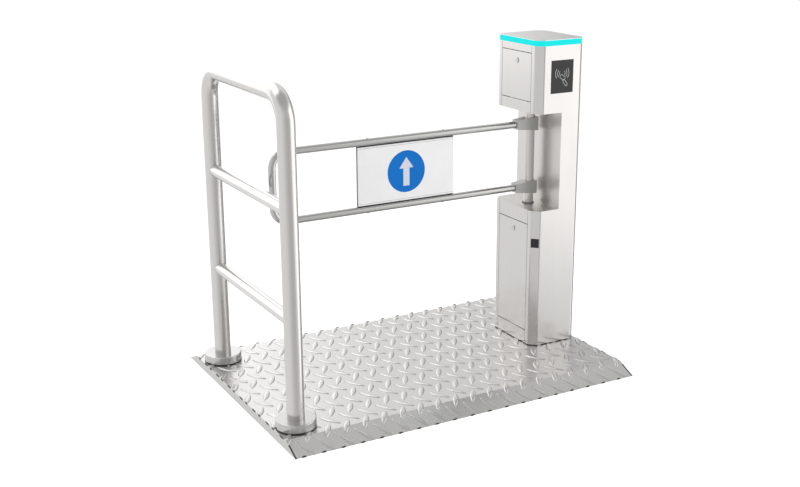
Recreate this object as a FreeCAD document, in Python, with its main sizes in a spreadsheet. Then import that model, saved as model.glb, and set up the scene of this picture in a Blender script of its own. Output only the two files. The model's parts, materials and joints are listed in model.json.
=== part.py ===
import FreeCAD, Part
import math
import os
import re
import Sketcher
from FreeCAD import Placement, Rotation, Vector

# Swing barrier gate on a tread-plate base. A slim cabinet carries a swinging arm in a notch, and a
# tube hoop guards the other side of the lane. The origin is at the middle of the base's underside,
# +X runs along the closed arm towards the cabinet, +Y along the lane and +Z up. Millimetres, degrees.

# How near an edge lies to the place that a test looks for.
NEAR = 0.01

# Driving sizes.
SIZES = {
    # Overall, with the base: one folded tread plate with a ramp on each side of the lane.
    "gate_height": 1031,
    "base_length": 1164,
    "base_flat_depth": 712,
    "ramp_run": 66,
    "base_height": 29,
    "plate_thickness": 4,
    "side_plate_thickness": 4,
    "bearer_width": 25,
    "bearer_wall": 2.5,
    "bearer_inset": 12,
    # Guard hoop of bent tube with two cross rails.
    "post_diameter": 50.8,
    "post_wall": 2,
    "post_inset": 63.6,
    "post_margin": 70,
    "hoop_rise": 938.6,
    "hoop_bend_radius": 80,
    "rail_diameter": 38,
    "rail_wall": 1.5,
    "lower_rail_rise": 314,
    "upper_rail_rise": 628,
    "weld_gap": 0.1,
    # Post flanges, their bolts and spun covers.
    "flange_diameter": 100,
    "flange_thickness": 6,
    "flange_bolt_circle": 76,
    "flange_bolt_diameter": 8,
    "flange_bolt_head": 13,
    "flange_bolt_head_height": 5,
    "cover_diameter": 117,
    "cover_height": 27,
    "cover_wall": 1,
    "cover_edge_radius": 3,
    "cover_gap": 0.3,
    "bolt_clearance": 0.5,
    "thread_clearance": 0.05,
    "nut_height": 8,
    "bolt_tail": 5,
    # Cabinet of folded sheet.
    "cabinet_width": 180,
    "cabinet_depth": 240,
    "corner_chamfer": 22,
    "fold_radius": 6,
    "sheet": 1.5,
    "top_rim": 24,
    "notch_rise": 458.5,
    "notch_opening": 314,
    "notch_depth": 93.2,
    "slot_margin": 16,
    "slot_gap": 1.5,
    "frame_lap": 10,
    # Cabinet foot and its anchor bolts.
    "foot_thickness": 5,
    "foot_setback": 4.5,
    "anchor_spacing_x": 120,
    "anchor_spacing_y": 170,
    "anchor_diameter": 10,
    "anchor_head": 17,
    "anchor_head_height": 6.5,
    "cable_hole": 40,
    "cable_hole_offset": 42,
    # Tilting doors with rolled hinges along their lower edges.
    "lower_door_rise": 49,
    "lower_head_height": 49,
    "upper_door_rise": 36.5,
    "upper_head_height": 24.5,
    "door_seam": 2.2,
    "door_return": 14,
    "hinge_pin_diameter": 2,
    "hinge_knuckle": 4.4,
    "hinge_gap": 0.4,
    "neck_room": 1.4,
    "running_fit": 0.05,
    "striker_lip": 1,
    # Cam locks.
    "lock_drop": 29,
    "lock_head_diameter": 19,
    "lock_head_height": 2.5,
    "lock_body_diameter": 16,
    "lock_nut_diameter": 22,
    "lock_nut_height": 4,
    "lock_clearance": 1,
    "lock_plug_diameter": 10,
    "key_slot_length": 6.5,
    "key_slot_width": 1.4,
    "key_slot_depth": 4,
    "cam_lap": 3.5,
    "cam_width": 12,
    "cam_thickness": 2,
    "cam_gap": 0.6,
    # Light ring, its board and the lid.
    "light_height": 17,
    "light_width": 9,
    "light_board_width": 8,
    "light_board_thickness": 1.6,
    "lid_thickness": 1.5,
    "lid_inset": 0.6,
    "lid_skirt": 10,
    "lid_fit": 0.3,
    # Card reader window on the front face and the sensor window on the front left corner.
    "reader_width": 84.4,
    "reader_height": 103,
    "reader_drop": 45.7,
    "window_fit": 0.3,
    "window_lap": 4,
    "window_back": 2,
    "reader_boss": 7,
    "reader_boss_height": 8,
    "reader_boss_inset": 8,
    "board_thickness": 1.6,
    "reader_coil_height": 3,
    "reader_coil_width": 6,
    "sensor_margin": 2.6,
    "sensor_height": 29.5,
    "sensor_drop": 91.5,
    "sensor_lap": 1.5,
    "sensor_body_diameter": 18,
    "sensor_body_length": 24,
    # Pivot shaft, bearings and housings.
    "shaft_setback": 56.5,
    "shaft_diameter": 32,
    "shaft_hole_gap": 1,
    "journal_step": 1,
    "bearing_diameter": 55,
    "bearing_width": 13,
    "bearing_ring": 4,
    "bearing_recess": 1,
    "housing_flange": 76,
    "housing_flange_thickness": 7,
    "housing_boss": 66,
    "housing_ledge": 4,
    "housing_ledge_bore": 46,
    "shaft_top": 8,
    "axial_play": 0.3,
    "seal_diameter": 39,
    "seal_height": 3.5,
    "seal_gap": 0.3,
    # Swing drive: gear pair, gear motor, bracket and end stops.
    "gear_module": 2,
    "gear_teeth": 38,
    "pinion_teeth": 19,
    "pressure_angle": 20,
    "backlash": 0.16,
    "gear_width": 12,
    "gear_drop": 5,
    "gear_hub_diameter": 48,
    "gear_hub_height": 3,
    "pinion_shaft_diameter": 12,
    "stop_drop": 1,
    "stop_collar_diameter": 50,
    "stop_height": 11,
    "stop_clearance": 5,
    "stop_width": 14,
    "stop_gap": 0.5,
    "buffer_diameter": 16,
    "buffer_offset": 38,
    "buffer_edge": 2,
    "bracket_drop": 8,
    "bracket_thickness": 3,
    "bracket_flange": 28,
    "bracket_setback": 30,
    "motor_pilot_diameter": 36,
    "motor_pilot_gap": 0.3,
    "gearbox_diameter": 62,
    "gearbox_length": 48,
    "motor_diameter": 54,
    "motor_length": 84,
    "encoder_diameter": 40,
    "encoder_length": 22,
    "motor_bore_depth": 26,
    # Power supply and control board.
    "tray_gap": 8,
    "tray_height": 150,
    "tray_width": 150,
    "tray_thickness": 2,
    "tray_spacer": 8,
    "tray_spacer_diameter": 10,
    "tray_spacer_inset": 12,
    "supply_depth": 42,
    "supply_width": 98,
    "supply_height": 129,
    "supply_cover": 1.2,
    "supply_terminal_height": 18,
    "supply_terminal_depth": 20,
    "vent_length": 60,
    "vent_width": 3,
    "vent_pitch": 10,
    "control_drop": 41.5,
    "control_height": 130,
    "control_width": 150,
    "control_spacer": 8,
    "control_spacer_diameter": 8,
    "control_spacer_inset": 8,
    "terminal_depth": 12,
    "terminal_height": 10,
    "terminal_margin": 6,
    "chip_size": 26,
    "chip_height": 4,
    # Swing arm: U-bent tube, tapered clamps and sign panel.
    "arm_tube_diameter": 22,
    "arm_tube_wall": 2,
    "arm_rise": 56.1,
    "arm_drop": 49.5,
    "arm_gap": 38,
    "arm_bend_radius": 45,
    "arm_socket": 30,
    "socket_fit": 0.05,
    "clamp_reach": 58,
    "clamp_tail": 20,
    "clamp_height": 44,
    "clamp_thickness": 44,
    "clamp_nose_height": 29,
    "clamp_nose_thickness": 30,
    "clamp_corner_radius": 3,
    "shaft_grub_diameter": 8,
    "tube_grub_diameter": 6,
    "tube_grub_setback": 14,
    "grub_length": 4,
    "sign_width": 335,
    "sign_offset": -1,
    "sign_thickness": 8,
    "sign_fit": 0.2,
    "sign_screw_diameter": 4,
    "sign_screw_inset": 35,
    "sign_screw_bite": 12,
    "sign_screw_head": 7,
    "sign_screw_head_height": 1.2,
    "sign_screw_fit": 0.1,
}

# Places worked out from the sizes, in the part's frame.
PLACES = {
    "half_length": "base_length / 2",
    "half_flat": "base_flat_depth / 2",
    "half_depth": "base_flat_depth / 2 + ramp_run",
    "plate_under": "base_height - plate_thickness",
    "ramp_slant": "sqrt(ramp_run ^ 2 + base_height ^ 2)",
    "inner_foot_y": "half_depth - plate_thickness * ramp_slant / base_height",
    "inner_crease_y": "inner_foot_y - plate_under * ramp_run / base_height",
    "post_x": "post_inset - half_length",
    "post_y": "half_flat - post_margin",
    "post_radius": "post_diameter / 2",
    "cabinet_left": "half_length - cabinet_width",
    "cabinet_middle": "half_length - cabinet_width / 2",
    "cabinet_half": "cabinet_depth / 2",
    "inside_left": "cabinet_left + sheet",
    "inside_right": "half_length - sheet",
    "inside_half": "cabinet_half - sheet",
    "inside_chamfer": "corner_chamfer - (2 - sqrt(2)) * sheet",
    "shell_rise": "gate_height - base_height - light_height - lid_thickness",
    "shell_top": "base_height + shell_rise",
    "notch_low": "base_height + notch_rise",
    "notch_high": "notch_low + notch_opening",
    "notch_wall": "cabinet_left + notch_depth",
    "slot_half": "cabinet_half - corner_chamfer - slot_margin",
    "door_half": "slot_half - slot_gap",
    "hinge_x": "inside_left + hinge_gap + hinge_knuckle / 2",
    "neck_x": "hinge_x + hinge_knuckle / 2 + neck_room",
    "lower_door_low": "base_height + lower_door_rise",
    "lower_door_high": "notch_low - lower_head_height",
    "upper_door_low": "notch_high + upper_door_rise",
    "upper_door_high": "shell_top - upper_head_height",
    "lock_length": "door_return + lock_clearance",
    "cam_reach": "lock_drop + door_seam + sheet + cam_lap",
    "reader_low": "shell_top - reader_drop - reader_height",
    "sensor_width": "corner_chamfer * sqrt(2) - 2 * sensor_margin",
    "sensor_middle": "notch_low - sensor_drop - sensor_height / 2",
    "shaft_x": "cabinet_left + shaft_setback",
    "journal_diameter": "shaft_diameter - 2 * journal_step",
    "lower_seat": "notch_low - sheet",
    "upper_seat": "notch_high + sheet",
    "housing_height": "bearing_width + housing_ledge",
    "gear_top": "lower_seat - housing_height - gear_drop",
    "gear_bottom": "gear_top - gear_width",
    "stop_top": "gear_bottom - gear_hub_height - stop_drop",
    "stop_bottom": "stop_top - stop_height",
    "bracket_top": "stop_bottom - bracket_drop",
    "bracket_bottom": "bracket_top - bracket_thickness",
    "gear_distance": "gear_module * (gear_teeth + pinion_teeth) / 2",
    "motor_x": "shaft_x + gear_distance",
    "motor_low": "bracket_bottom - gearbox_length - motor_length - encoder_length",
    "stop_reach": "gear_distance - pinion_shaft_diameter / 2 - stop_clearance",
    "lower_arm_z": "notch_low + arm_rise",
    "upper_arm_z": "notch_high - arm_drop",
    "arm_end_x": "post_x + post_radius + arm_gap",
    "arm_root_x": "shaft_x - clamp_reach + arm_socket",
    "arm_tube_radius": "arm_tube_diameter / 2",
    "sign_low": "lower_arm_z + arm_tube_radius + sign_fit",
    "sign_high": "upper_arm_z - arm_tube_radius - sign_fit",
}

doc = FreeCAD.newDocument("swing_barrier_gate")
sizes = doc.addObject("Spreadsheet::Sheet", "Sizes")
places = doc.addObject("Spreadsheet::Sheet", "Places")
working = doc.addObject("Spreadsheet::Sheet", "Working")
nodes = []


def formula(text):
    """Return the text with each size and place pointed at its cell."""
    def cell(match):
        word = match.group(0)
        if word in SIZES:
            return "Sizes." + word
        if word in PLACES:
            return "Places." + word
        return word
    return re.sub(r"[A-Za-z_]\w*", cell, str(text))


def fill_sheets():
    """Write the driving sizes as plain numbers and the places as formulas."""
    for row, (name, size) in enumerate(SIZES.items(), 1):
        sizes.set(f"A{row}", name)
        sizes.set(f"B{row}", str(size))
        sizes.setAlias(f"B{row}", name)
    for row, (name, text) in enumerate(PLACES.items(), 1):
        places.set(f"A{row}", name)
        places.set(f"B{row}", "=" + formula(text))
        places.setAlias(f"B{row}", name)
    doc.recompute()


def value(text):
    """Return what a formula comes to, worked out in the working sheet."""
    working.set("A1", "=" + formula(text))
    working.recompute()
    return float(working.get("A1"))


def bind(thing, **fields):
    """Bind an object's properties to formulas."""
    for field, text in fields.items():
        thing.setExpression(field, formula(text))
    return thing


def place(thing, x="0", y="0", z="0"):
    """Bind an object's position to three formulas."""
    thing.setExpression("Placement.Base.x", formula(x))
    thing.setExpression("Placement.Base.y", formula(y))
    thing.setExpression("Placement.Base.z", formula(z))
    return thing


def node(thing, label):
    """Name a finished sub-part and keep it for writing."""
    thing.Label = label
    nodes.append(thing)
    return thing


# Sketches and features of bodies.

def new_body():
    """Return an empty body."""
    return doc.addObject("PartDesign::Body", "Body")


def sketch_on(body, role, offset="0"):
    """Return a sketch on one of the body's origin planes, moved along the plane's normal."""
    plane = next(item for item in body.Origin.OriginFeatures if item.Role == role)
    sketch = body.newObject("Sketcher::SketchObject", "Sketch")
    sketch.AttachmentSupport = [(plane, "")]
    sketch.MapMode = "FlatFace"
    sketch.setExpression("AttachmentOffset.Base.z", formula(offset))
    return sketch


def fix(sketch, constraint, text):
    """Add a dimension to a sketch and bind it to a formula."""
    index = sketch.addConstraint(constraint)
    sketch.setExpression(f"Constraints[{index}]", formula(text))


def fix_point(sketch, element, end, x, y):
    """Dimension one point of a sketch from its origin."""
    fix(sketch, Sketcher.Constraint("DistanceX", -1, 1, element, end, value(x)), x)
    fix(sketch, Sketcher.Constraint("DistanceY", -1, 1, element, end, value(y)), y)


def outline(sketch, points):
    """Draw a closed outline of straight lines through points given as formulas."""
    corners = [Vector(value(x), value(y), 0) for x, y in points]
    first = sketch.GeometryCount
    count = len(points)
    for index in range(count):
        sketch.addGeometry(Part.LineSegment(corners[index], corners[(index + 1) % count]))
    for index in range(count):
        after = first + (index + 1) % count
        sketch.addConstraint(Sketcher.Constraint("Coincident", first + index, 2, after, 1))
    for index, (x, y) in enumerate(points):
        fix_point(sketch, first + index, 1, x, y)
    return sketch


def rectangle(sketch, x0, x1, y0, y1):
    """Draw a rectangle between four formulas."""
    return outline(sketch, [(x0, y0), (x1, y0), (x1, y1), (x0, y1)])


def circle(sketch, x, y, radius):
    """Draw a circle at a point given by formulas."""
    middle = Vector(value(x), value(y), 0)
    index = sketch.addGeometry(Part.Circle(middle, Vector(0, 0, 1), value(radius)))
    fix_point(sketch, index, 3, x, y)
    fix(sketch, Sketcher.Constraint("Radius", index, value(radius)), radius)
    return sketch


def bent_path(sketch, x, y, low, high, radius, along_x):
    """Draw a U path of three runs and two bends.

    The closed run is vertical at x between low and high where along_x is true, and the legs start
    at y; otherwise the closed run is horizontal at high between -x and x, and the legs start at low.
    """
    if along_x:
        ends = [(y, high), (x, high), (x, low), (y, low)]
    else:
        ends = [(f"-({x})", low), (f"-({x})", high), (x, high), (x, low)]
    points = [Vector(value(u), value(v), 0) for u, v in ends]
    bend = value(radius)

    def toward(start, end):
        return (end - start).normalize() * bend

    runs = []
    for index in range(3):
        start = points[index]
        end = points[index + 1]
        step = toward(start, end)
        run_start = start + step if index > 0 else start
        run_end = end - step if index < 2 else end
        runs.append(sketch.addGeometry(Part.LineSegment(run_start, run_end)))
    bends = []
    for index in (1, 2):
        before = toward(points[index], points[index - 1])
        after = toward(points[index], points[index + 1])
        middle = points[index] + before + after
        halfway = middle - (before + after).normalize() * bend
        arc = Part.Arc(points[index] + before, halfway, points[index] + after)
        bends.append(sketch.addGeometry(arc))
    for index in (0, 1):
        joins = ((runs[index], 2), (runs[index + 1], 1))
        for run, run_end in joins:
            corner = sketch.getPoint(run, run_end)
            arc_end = 1 if sketch.getPoint(bends[index], 1).distanceToPoint(corner) < bend / 10 else 2
            sketch.addConstraint(Sketcher.Constraint("Tangent", run, run_end, bends[index], arc_end))
    sketch.addConstraint(Sketcher.Constraint("Equal", bends[0], bends[1]))
    fix(sketch, Sketcher.Constraint("Radius", bends[0], bend), radius)
    fix_point(sketch, runs[0], 1, *ends[0])
    fix_point(sketch, runs[2], 2, *ends[3])
    leg, closed = ("Horizontal", "Vertical") if along_x else ("Vertical", "Horizontal")
    for run, direction in zip(runs, (leg, closed, leg)):
        sketch.addConstraint(Sketcher.Constraint(direction, run))
    kind, reach = ("DistanceX", x) if along_x else ("DistanceY", high)
    fix(sketch, Sketcher.Constraint(kind, -1, 1, runs[1], 1, value(reach)), reach)
    return sketch


def pad(body, sketch, length, both_ways=False, backwards=False):
    """Add material along a sketch's normal."""
    feature = body.newObject("PartDesign::Pad", "Pad")
    feature.Profile = sketch
    feature.Midplane = both_ways
    feature.Reversed = backwards
    return bind(feature, Length=length)


def cut(body, sketch, length, both_ways=False, backwards=False):
    """Remove material against a sketch's normal, and make sure that some has gone."""
    doc.recompute()
    before = body.Shape.Volume
    feature = body.newObject("PartDesign::Pocket", "Pocket")
    feature.Profile = sketch
    feature.Midplane = both_ways
    feature.Reversed = backwards
    bind(feature, Length=length)
    doc.recompute()
    if not body.Shape.Volume < before:
        raise ValueError(f"the cut {feature.Name} removed nothing")
    return feature


def drill(body, circles, length):
    """Cut round holes along Z through a body, where circles holds x, y and radius formulas."""
    sketch = sketch_on(body, "XY_Plane")
    for x, y, radius in circles:
        circle(sketch, x, y, radius)
    return cut(body, sketch, length, both_ways=True)


def turned(points, along_x=False):
    """Return a body turned about Z from (radius, z) points, or about X from (x, radius) points."""
    body = new_body()
    sketch = outline(sketch_on(body, "XZ_Plane"), points)
    feature = body.newObject("PartDesign::Revolution", "Revolution")
    feature.Profile = sketch
    feature.ReferenceAxis = (sketch, ["H_Axis" if along_x else "V_Axis"])
    feature.Angle = 360
    return body


def round_edges(body, radius, picks):
    """Round the edges of a body's last feature that the test picks."""
    doc.recompute()
    base = body.Tip
    names = [f"Edge{index}" for index, edge in enumerate(base.Shape.Edges, 1) if picks(edge)]
    if not names:
        raise ValueError("no edge to round")
    feature = body.newObject("PartDesign::Fillet", "Fillet")
    feature.Base = (base, names)
    return bind(feature, Radius=radius)


def tube_along(body, path, ring):
    """Sweep a ring sketch along a path sketch."""
    feature = body.newObject("PartDesign::AdditivePipe", "Pipe")
    feature.Profile = ring
    feature.Spine = path
    return feature


def rod(x, y, z, radius, length, axis=None):
    """Return a plain cylinder that starts at a point and runs along Z, or along the axis given."""
    shape = doc.addObject("Part::Cylinder", "Rod")
    if axis:
        shape.Placement = Placement(Vector(), Rotation(Vector(0, 0, 1), axis))
    bind(shape, Radius=radius, Height=length)
    return place(shape, x, y, z)


def hexagon(x, y, z, across_flats, height):
    """Return a hexagonal prism that stands on a point."""
    shape = doc.addObject("Part::Prism", "Hexagon")
    shape.Polygon = 6
    bind(shape, Circumradius=f"({across_flats}) / sqrt(3)", Height=height)
    return place(shape, x, y, z)


def joined(first, second):
    """Return two shapes fused into one solid."""
    fuse = doc.addObject("Part::Fuse", "Fuse")
    fuse.Base = first
    fuse.Tool = second
    return fuse


def removed(first, second):
    """Return the first shape with the second cut away."""
    difference = doc.addObject("Part::Cut", "Cut")
    difference.Base = first
    difference.Tool = second
    return difference


def group(shapes, label):
    """Keep identical pieces together as one node of separate solids."""
    compound = doc.addObject("Part::Compound", "Compound")
    compound.Links = shapes
    return node(compound, label)


# Base.

def floor_plate(holes):
    """The tread plate, folded down into a ramp on each side and drilled for its bolts."""
    body = new_body()
    profile = outline(sketch_on(body, "YZ_Plane"), [
        ("-half_depth", "0"),
        ("-half_flat", "base_height"),
        ("half_flat", "base_height"),
        ("half_depth", "0"),
        ("inner_foot_y", "0"),
        ("inner_crease_y", "plate_under"),
        ("-inner_crease_y", "plate_under"),
        ("-inner_foot_y", "0"),
    ])
    pad(body, profile, "base_length", both_ways=True)
    drill(body, holes, "4 * base_height")
    node(body, "floor_plate")


def side_plate(label, start):
    """A plate that closes one end of the base under the tread plate."""
    body = new_body()
    profile = outline(sketch_on(body, "YZ_Plane", start), [
        ("-inner_foot_y", "0"),
        ("inner_foot_y", "0"),
        ("inner_crease_y", "plate_under"),
        ("-inner_crease_y", "plate_under"),
    ])
    pad(body, profile, "side_plate_thickness")
    node(body, label)


def bearers(count):
    """Square tubes across the lane that carry the plate, evenly spaced from posts to cabinet."""
    for index in range(count):
        body = new_body()
        profile = sketch_on(body, "XZ_Plane")
        rectangle(profile, "-bearer_width / 2", "bearer_width / 2", "0", "plate_under")
        rectangle(profile, "bearer_wall - bearer_width / 2", "bearer_width / 2 - bearer_wall",
                  "bearer_wall", "plate_under - bearer_wall")
        pad(body, profile, "2 * (inner_crease_y - bearer_inset)", both_ways=True)
        place(body, f"post_x + {index} * (cabinet_middle - post_x) / {count - 1}")
        node(body, f"bearer_{index + 1}")


# Guard hoop.

def guard_hoop():
    """The bent tube that makes both posts and the top rail."""
    body = new_body()
    path = bent_path(sketch_on(body, "YZ_Plane"), "post_y", None, "0", "hoop_rise",
                     "hoop_bend_radius", False)
    ring = sketch_on(body, "XY_Plane")
    circle(ring, "0", "-post_y", "post_radius")
    circle(ring, "0", "-post_y", "post_radius - post_wall")
    tube_along(body, path, ring)
    place(body, "post_x", "0", "base_height")
    node(body, "guard_hoop")


def cross_rail(label, rise):
    """A tube between the posts, coped at both ends to their curve."""
    body = new_body()
    ring = sketch_on(body, "XZ_Plane")
    circle(ring, "0", rise, "rail_diameter / 2")
    circle(ring, "0", rise, "rail_diameter / 2 - rail_wall")
    pad(body, ring, "2 * post_y", both_ways=True)
    copes = [("0", side + "post_y", "post_radius + weld_gap") for side in ("", "-")]
    drill(body, copes, f"4 * ({rise})")
    place(body, "post_x", "0", "base_height")
    node(body, label)


def flange_bolt_points(side):
    """Return the four bolt places round one post, on the diagonals."""
    reach = "flange_bolt_circle / 2 / sqrt(2)"
    return [(f"post_x {sx} {reach}", f"{side}post_y {sy} {reach}") for sx in "+-" for sy in "+-"]


def post_foot(name, side):
    """A welded flange at the foot of one post, and the spun cover that hides it."""
    bore = "post_radius + weld_gap"
    flange = turned([
        (bore, "0"),
        ("flange_diameter / 2", "0"),
        ("flange_diameter / 2", "flange_thickness"),
        (bore, "flange_thickness"),
    ])
    reach = "flange_bolt_circle / 2 / sqrt(2)"
    holes = [(f"{sx}{reach}", f"{sy}{reach}", "(flange_bolt_diameter + bolt_clearance) / 2")
             for sx in ("", "-") for sy in ("", "-")]
    drill(flange, holes, "4 * flange_thickness")
    place(flange, "post_x", f"{side}post_y", "base_height")
    node(flange, f"{name}_post_flange")
    neck = "post_radius + cover_gap"
    cover = turned([
        ("cover_diameter / 2 - cover_wall", "0"),
        ("cover_diameter / 2", "0"),
        ("cover_diameter / 2", "cover_height"),
        (neck, "cover_height"),
        (neck, "cover_height - cover_wall"),
        ("cover_diameter / 2 - cover_wall", "cover_height - cover_wall"),
    ])
    rim = value("cover_diameter / 2")
    top = value("cover_height")

    def is_rim(edge):
        round_rim = isinstance(edge.Curve, Part.Circle) and abs(edge.Curve.Radius - rim) < NEAR
        return round_rim and edge.CenterOfMass.z > top / 2

    round_edges(cover, "cover_edge_radius", is_rim)
    place(cover, "post_x", f"{side}post_y", "base_height")
    node(cover, f"{name}_flange_cover")


def bolts(points, name, seat, diameter, head, head_height):
    """Hexagon bolts from a seat down through the plate, with a nut under it on each."""
    bolt_shapes = []
    nut_shapes = []
    for x, y in points:
        tip = f"{seat} - plate_under + nut_height + bolt_tail"
        shank = rod(x, y, "plate_under - nut_height - bolt_tail", f"{diameter} / 2", tip)
        bolt_shapes.append(joined(shank, hexagon(x, y, seat, head, head_height)))
        blank = hexagon(x, y, "plate_under - nut_height", head, "nut_height")
        thread = rod(x, y, "0", f"{diameter} / 2 + thread_clearance", "base_height")
        nut_shapes.append(removed(blank, thread))
    group(bolt_shapes, f"{name}_bolts")
    group(nut_shapes, f"{name}_nuts")


# Cabinet.

def cabinet_outline(inset):
    """Return the cabinet's chamfered plan, drawn in by an inset."""
    left = f"cabinet_left + ({inset})"
    right = f"half_length - ({inset})"
    half = f"cabinet_half - ({inset})"
    leg = f"(corner_chamfer - (2 - sqrt(2)) * ({inset}))"
    return [
        (left, f"{leg} - ({half})"),
        (f"{left} + {leg}", f"-({half})"),
        (f"{right} - {leg}", f"-({half})"),
        (right, f"{leg} - ({half})"),
        (right, f"{half} - {leg}"),
        (f"{right} - {leg}", half),
        (f"{left} + {leg}", half),
        (left, f"{half} - {leg}"),
    ]


def round_folds(body, inset):
    """Round the upright folds of a body that was padded from the cabinet's plan at an inset."""
    corners = [Vector(value(x), value(y), 0) for x, y in cabinet_outline(inset)]

    def is_fold(edge):
        middle = Vector(edge.CenterOfMass.x, edge.CenterOfMass.y, 0)
        return any(middle.distanceToPoint(corner) < NEAR for corner in corners)

    round_edges(body, f"fold_radius - ({inset})", is_fold)


def corner_sketch(body):
    """Return a sketch on the front left corner face, square to it, at the sensor's middle."""
    sketch = sketch_on(body, "XZ_Plane")
    sketch.AttachmentOffset = Placement(Vector(), Rotation(Vector(0, 1, 0), -45))
    sketch.setExpression("AttachmentOffset.Base.x", formula("cabinet_left + corner_chamfer / 2"))
    sketch.setExpression("AttachmentOffset.Base.y", formula("sensor_middle - base_height"))
    sketch.setExpression("AttachmentOffset.Base.z", formula("cabinet_half - corner_chamfer / 2"))
    return sketch


def cabinet_shell():
    """The folded sheet column, open below, with the notch, door slots and window holes."""
    body = new_body()
    pad(body, outline(sketch_on(body, "XY_Plane"), cabinet_outline("0")), "shell_rise")
    round_folds(body, "0")
    inside = outline(sketch_on(body, "XY_Plane", "shell_rise - sheet"), cabinet_outline("sheet"))
    cut(body, inside, "shell_rise")
    opening = outline(sketch_on(body, "XY_Plane", "shell_rise"), cabinet_outline("top_rim"))
    cut(body, opening, "2 * sheet")
    notch = rectangle(sketch_on(body, "XZ_Plane"), "cabinet_left - sheet", "notch_wall",
                      "notch_rise", "notch_rise + notch_opening")
    cut(body, notch, "2 * cabinet_depth", both_ways=True)
    slots = sketch_on(body, "YZ_Plane", "cabinet_left - sheet")
    rectangle(slots, "-slot_half", "slot_half", "-sheet", "notch_rise + sheet")
    rectangle(slots, "-slot_half", "slot_half", "notch_rise + notch_opening - sheet", "shell_rise - sheet")
    cut(body, slots, "3 * sheet", backwards=True)
    reader = rectangle(sketch_on(body, "XZ_Plane", "cabinet_half + sheet"),
                       "cabinet_middle - reader_width / 2 - window_fit",
                       "cabinet_middle + reader_width / 2 + window_fit",
                       "reader_low - base_height - window_fit",
                       "reader_low - base_height + reader_height + window_fit")
    cut(body, reader, "3 * sheet")
    half_width = "(sensor_width / 2 + window_fit)"
    half_height = "(sensor_height / 2 + window_fit)"
    sensor = rectangle(corner_sketch(body), f"-{half_width}", half_width, f"-{half_height}", half_height)
    cut(body, sensor, "4 * sheet", both_ways=True)
    place(body, z="base_height")
    node(body, "cabinet_shell")


def notch_liner():
    """The bent sheet that lines the notch: floor, back wall and ceiling."""
    body = new_body()
    plan = outline(sketch_on(body, "XY_Plane", "lower_seat"), [
        ("inside_left", "inside_chamfer - inside_half"),
        ("inside_left + inside_chamfer", "-inside_half"),
        ("notch_wall + sheet", "-inside_half"),
        ("notch_wall + sheet", "inside_half"),
        ("inside_left + inside_chamfer", "inside_half"),
        ("inside_left", "inside_half - inside_chamfer"),
    ])
    pad(body, plan, "upper_seat - lower_seat")
    hollow = rectangle(sketch_on(body, "XZ_Plane"), "cabinet_left", "notch_wall", "notch_low", "notch_high")
    cut(body, hollow, "2 * cabinet_depth", both_ways=True)
    drill(body, [("shaft_x", "0", "shaft_diameter / 2 + shaft_hole_gap")], "4 * notch_high")
    node(body, "notch_liner")


def cabinet_foot(holes):
    """The plate inside the shell's foot that the anchor bolts hold down."""
    body = new_body()
    plan = outline(sketch_on(body, "XY_Plane", "base_height"), [
        ("cabinet_left + foot_setback", "inside_chamfer - inside_half + foot_setback"),
        ("inside_left + inside_chamfer + foot_setback", "-inside_half"),
        ("inside_right - inside_chamfer", "-inside_half"),
        ("inside_right", "inside_chamfer - inside_half"),
        ("inside_right", "inside_half - inside_chamfer"),
        ("inside_right - inside_chamfer", "inside_half"),
        ("inside_left + inside_chamfer + foot_setback", "inside_half"),
        ("cabinet_left + foot_setback", "inside_half - inside_chamfer - foot_setback"),
    ])
    pad(body, plan, "foot_thickness")
    drill(body, holes, "4 * base_height")
    node(body, "cabinet_foot")


def frame_face(low, high):
    """Return a body with the flush face of a door frame's head or sill."""
    body = new_body()
    face = rectangle(sketch_on(body, "YZ_Plane", "cabinet_left"), "-door_half", "door_half", low, high)
    pad(body, face, "sheet")
    return body


def frame_back(body, low, high):
    """Add the strip behind a frame's face that laps the shell on both sides."""
    reach = "slot_half + frame_lap"
    back = rectangle(sketch_on(body, "YZ_Plane", "inside_left"), f"-({reach})", reach, low, high)
    pad(body, back, "sheet")


def door_head(label, door_high, high, back_high):
    """The strip above a door, with the fold that the lock's cam catches behind."""
    low = f"{door_high} + door_seam"
    body = frame_face(low, high)
    frame_back(body, low, back_high)
    fold = rectangle(sketch_on(body, "XZ_Plane"), "inside_left", "cabinet_left + door_return + striker_lip",
                     low, f"{low} + sheet")
    pad(body, fold, "2 * door_half", both_ways=True)
    node(body, label)


def door_sill(label, door_low, low, back_low):
    """The strip below a door, with hidden gooseneck knuckles that fill the second and fourth fifths."""
    high = f"{door_low} - door_seam"
    axis = f"{door_low} + hinge_knuckle / 2"
    body = frame_face(low, high)
    frame_back(body, back_low, f"{high} - sheet")
    gooseneck = outline(sketch_on(body, "XZ_Plane"), [
        ("inside_left", f"{high} - 2 * sheet"),
        ("neck_x + sheet", f"{high} - 2 * sheet"),
        ("neck_x + sheet", f"{axis} + hinge_knuckle / 2"),
        ("hinge_x", f"{axis} + hinge_knuckle / 2"),
        ("hinge_x", axis),
        ("neck_x", axis),
        ("neck_x", f"{high} - sheet"),
        ("inside_left", f"{high} - sheet"),
    ])
    pad(body, gooseneck, "1.2 * door_half - 2 * hinge_gap", both_ways=True)
    knuckle = circle(sketch_on(body, "XZ_Plane"), "hinge_x", axis, "hinge_knuckle / 2")
    pad(body, knuckle, "1.2 * door_half - 2 * hinge_gap", both_ways=True)
    space = rectangle(sketch_on(body, "YZ_Plane"), "-0.2 * door_half - hinge_gap",
                      "0.2 * door_half + hinge_gap", high, f"{axis} + hinge_knuckle")
    cut(body, space, "4 * half_length", both_ways=True)
    bore = circle(sketch_on(body, "XZ_Plane"), "hinge_x", axis, "hinge_pin_diameter / 2 + running_fit")
    cut(body, bore, "4 * door_half", both_ways=True)
    node(body, label)


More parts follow.
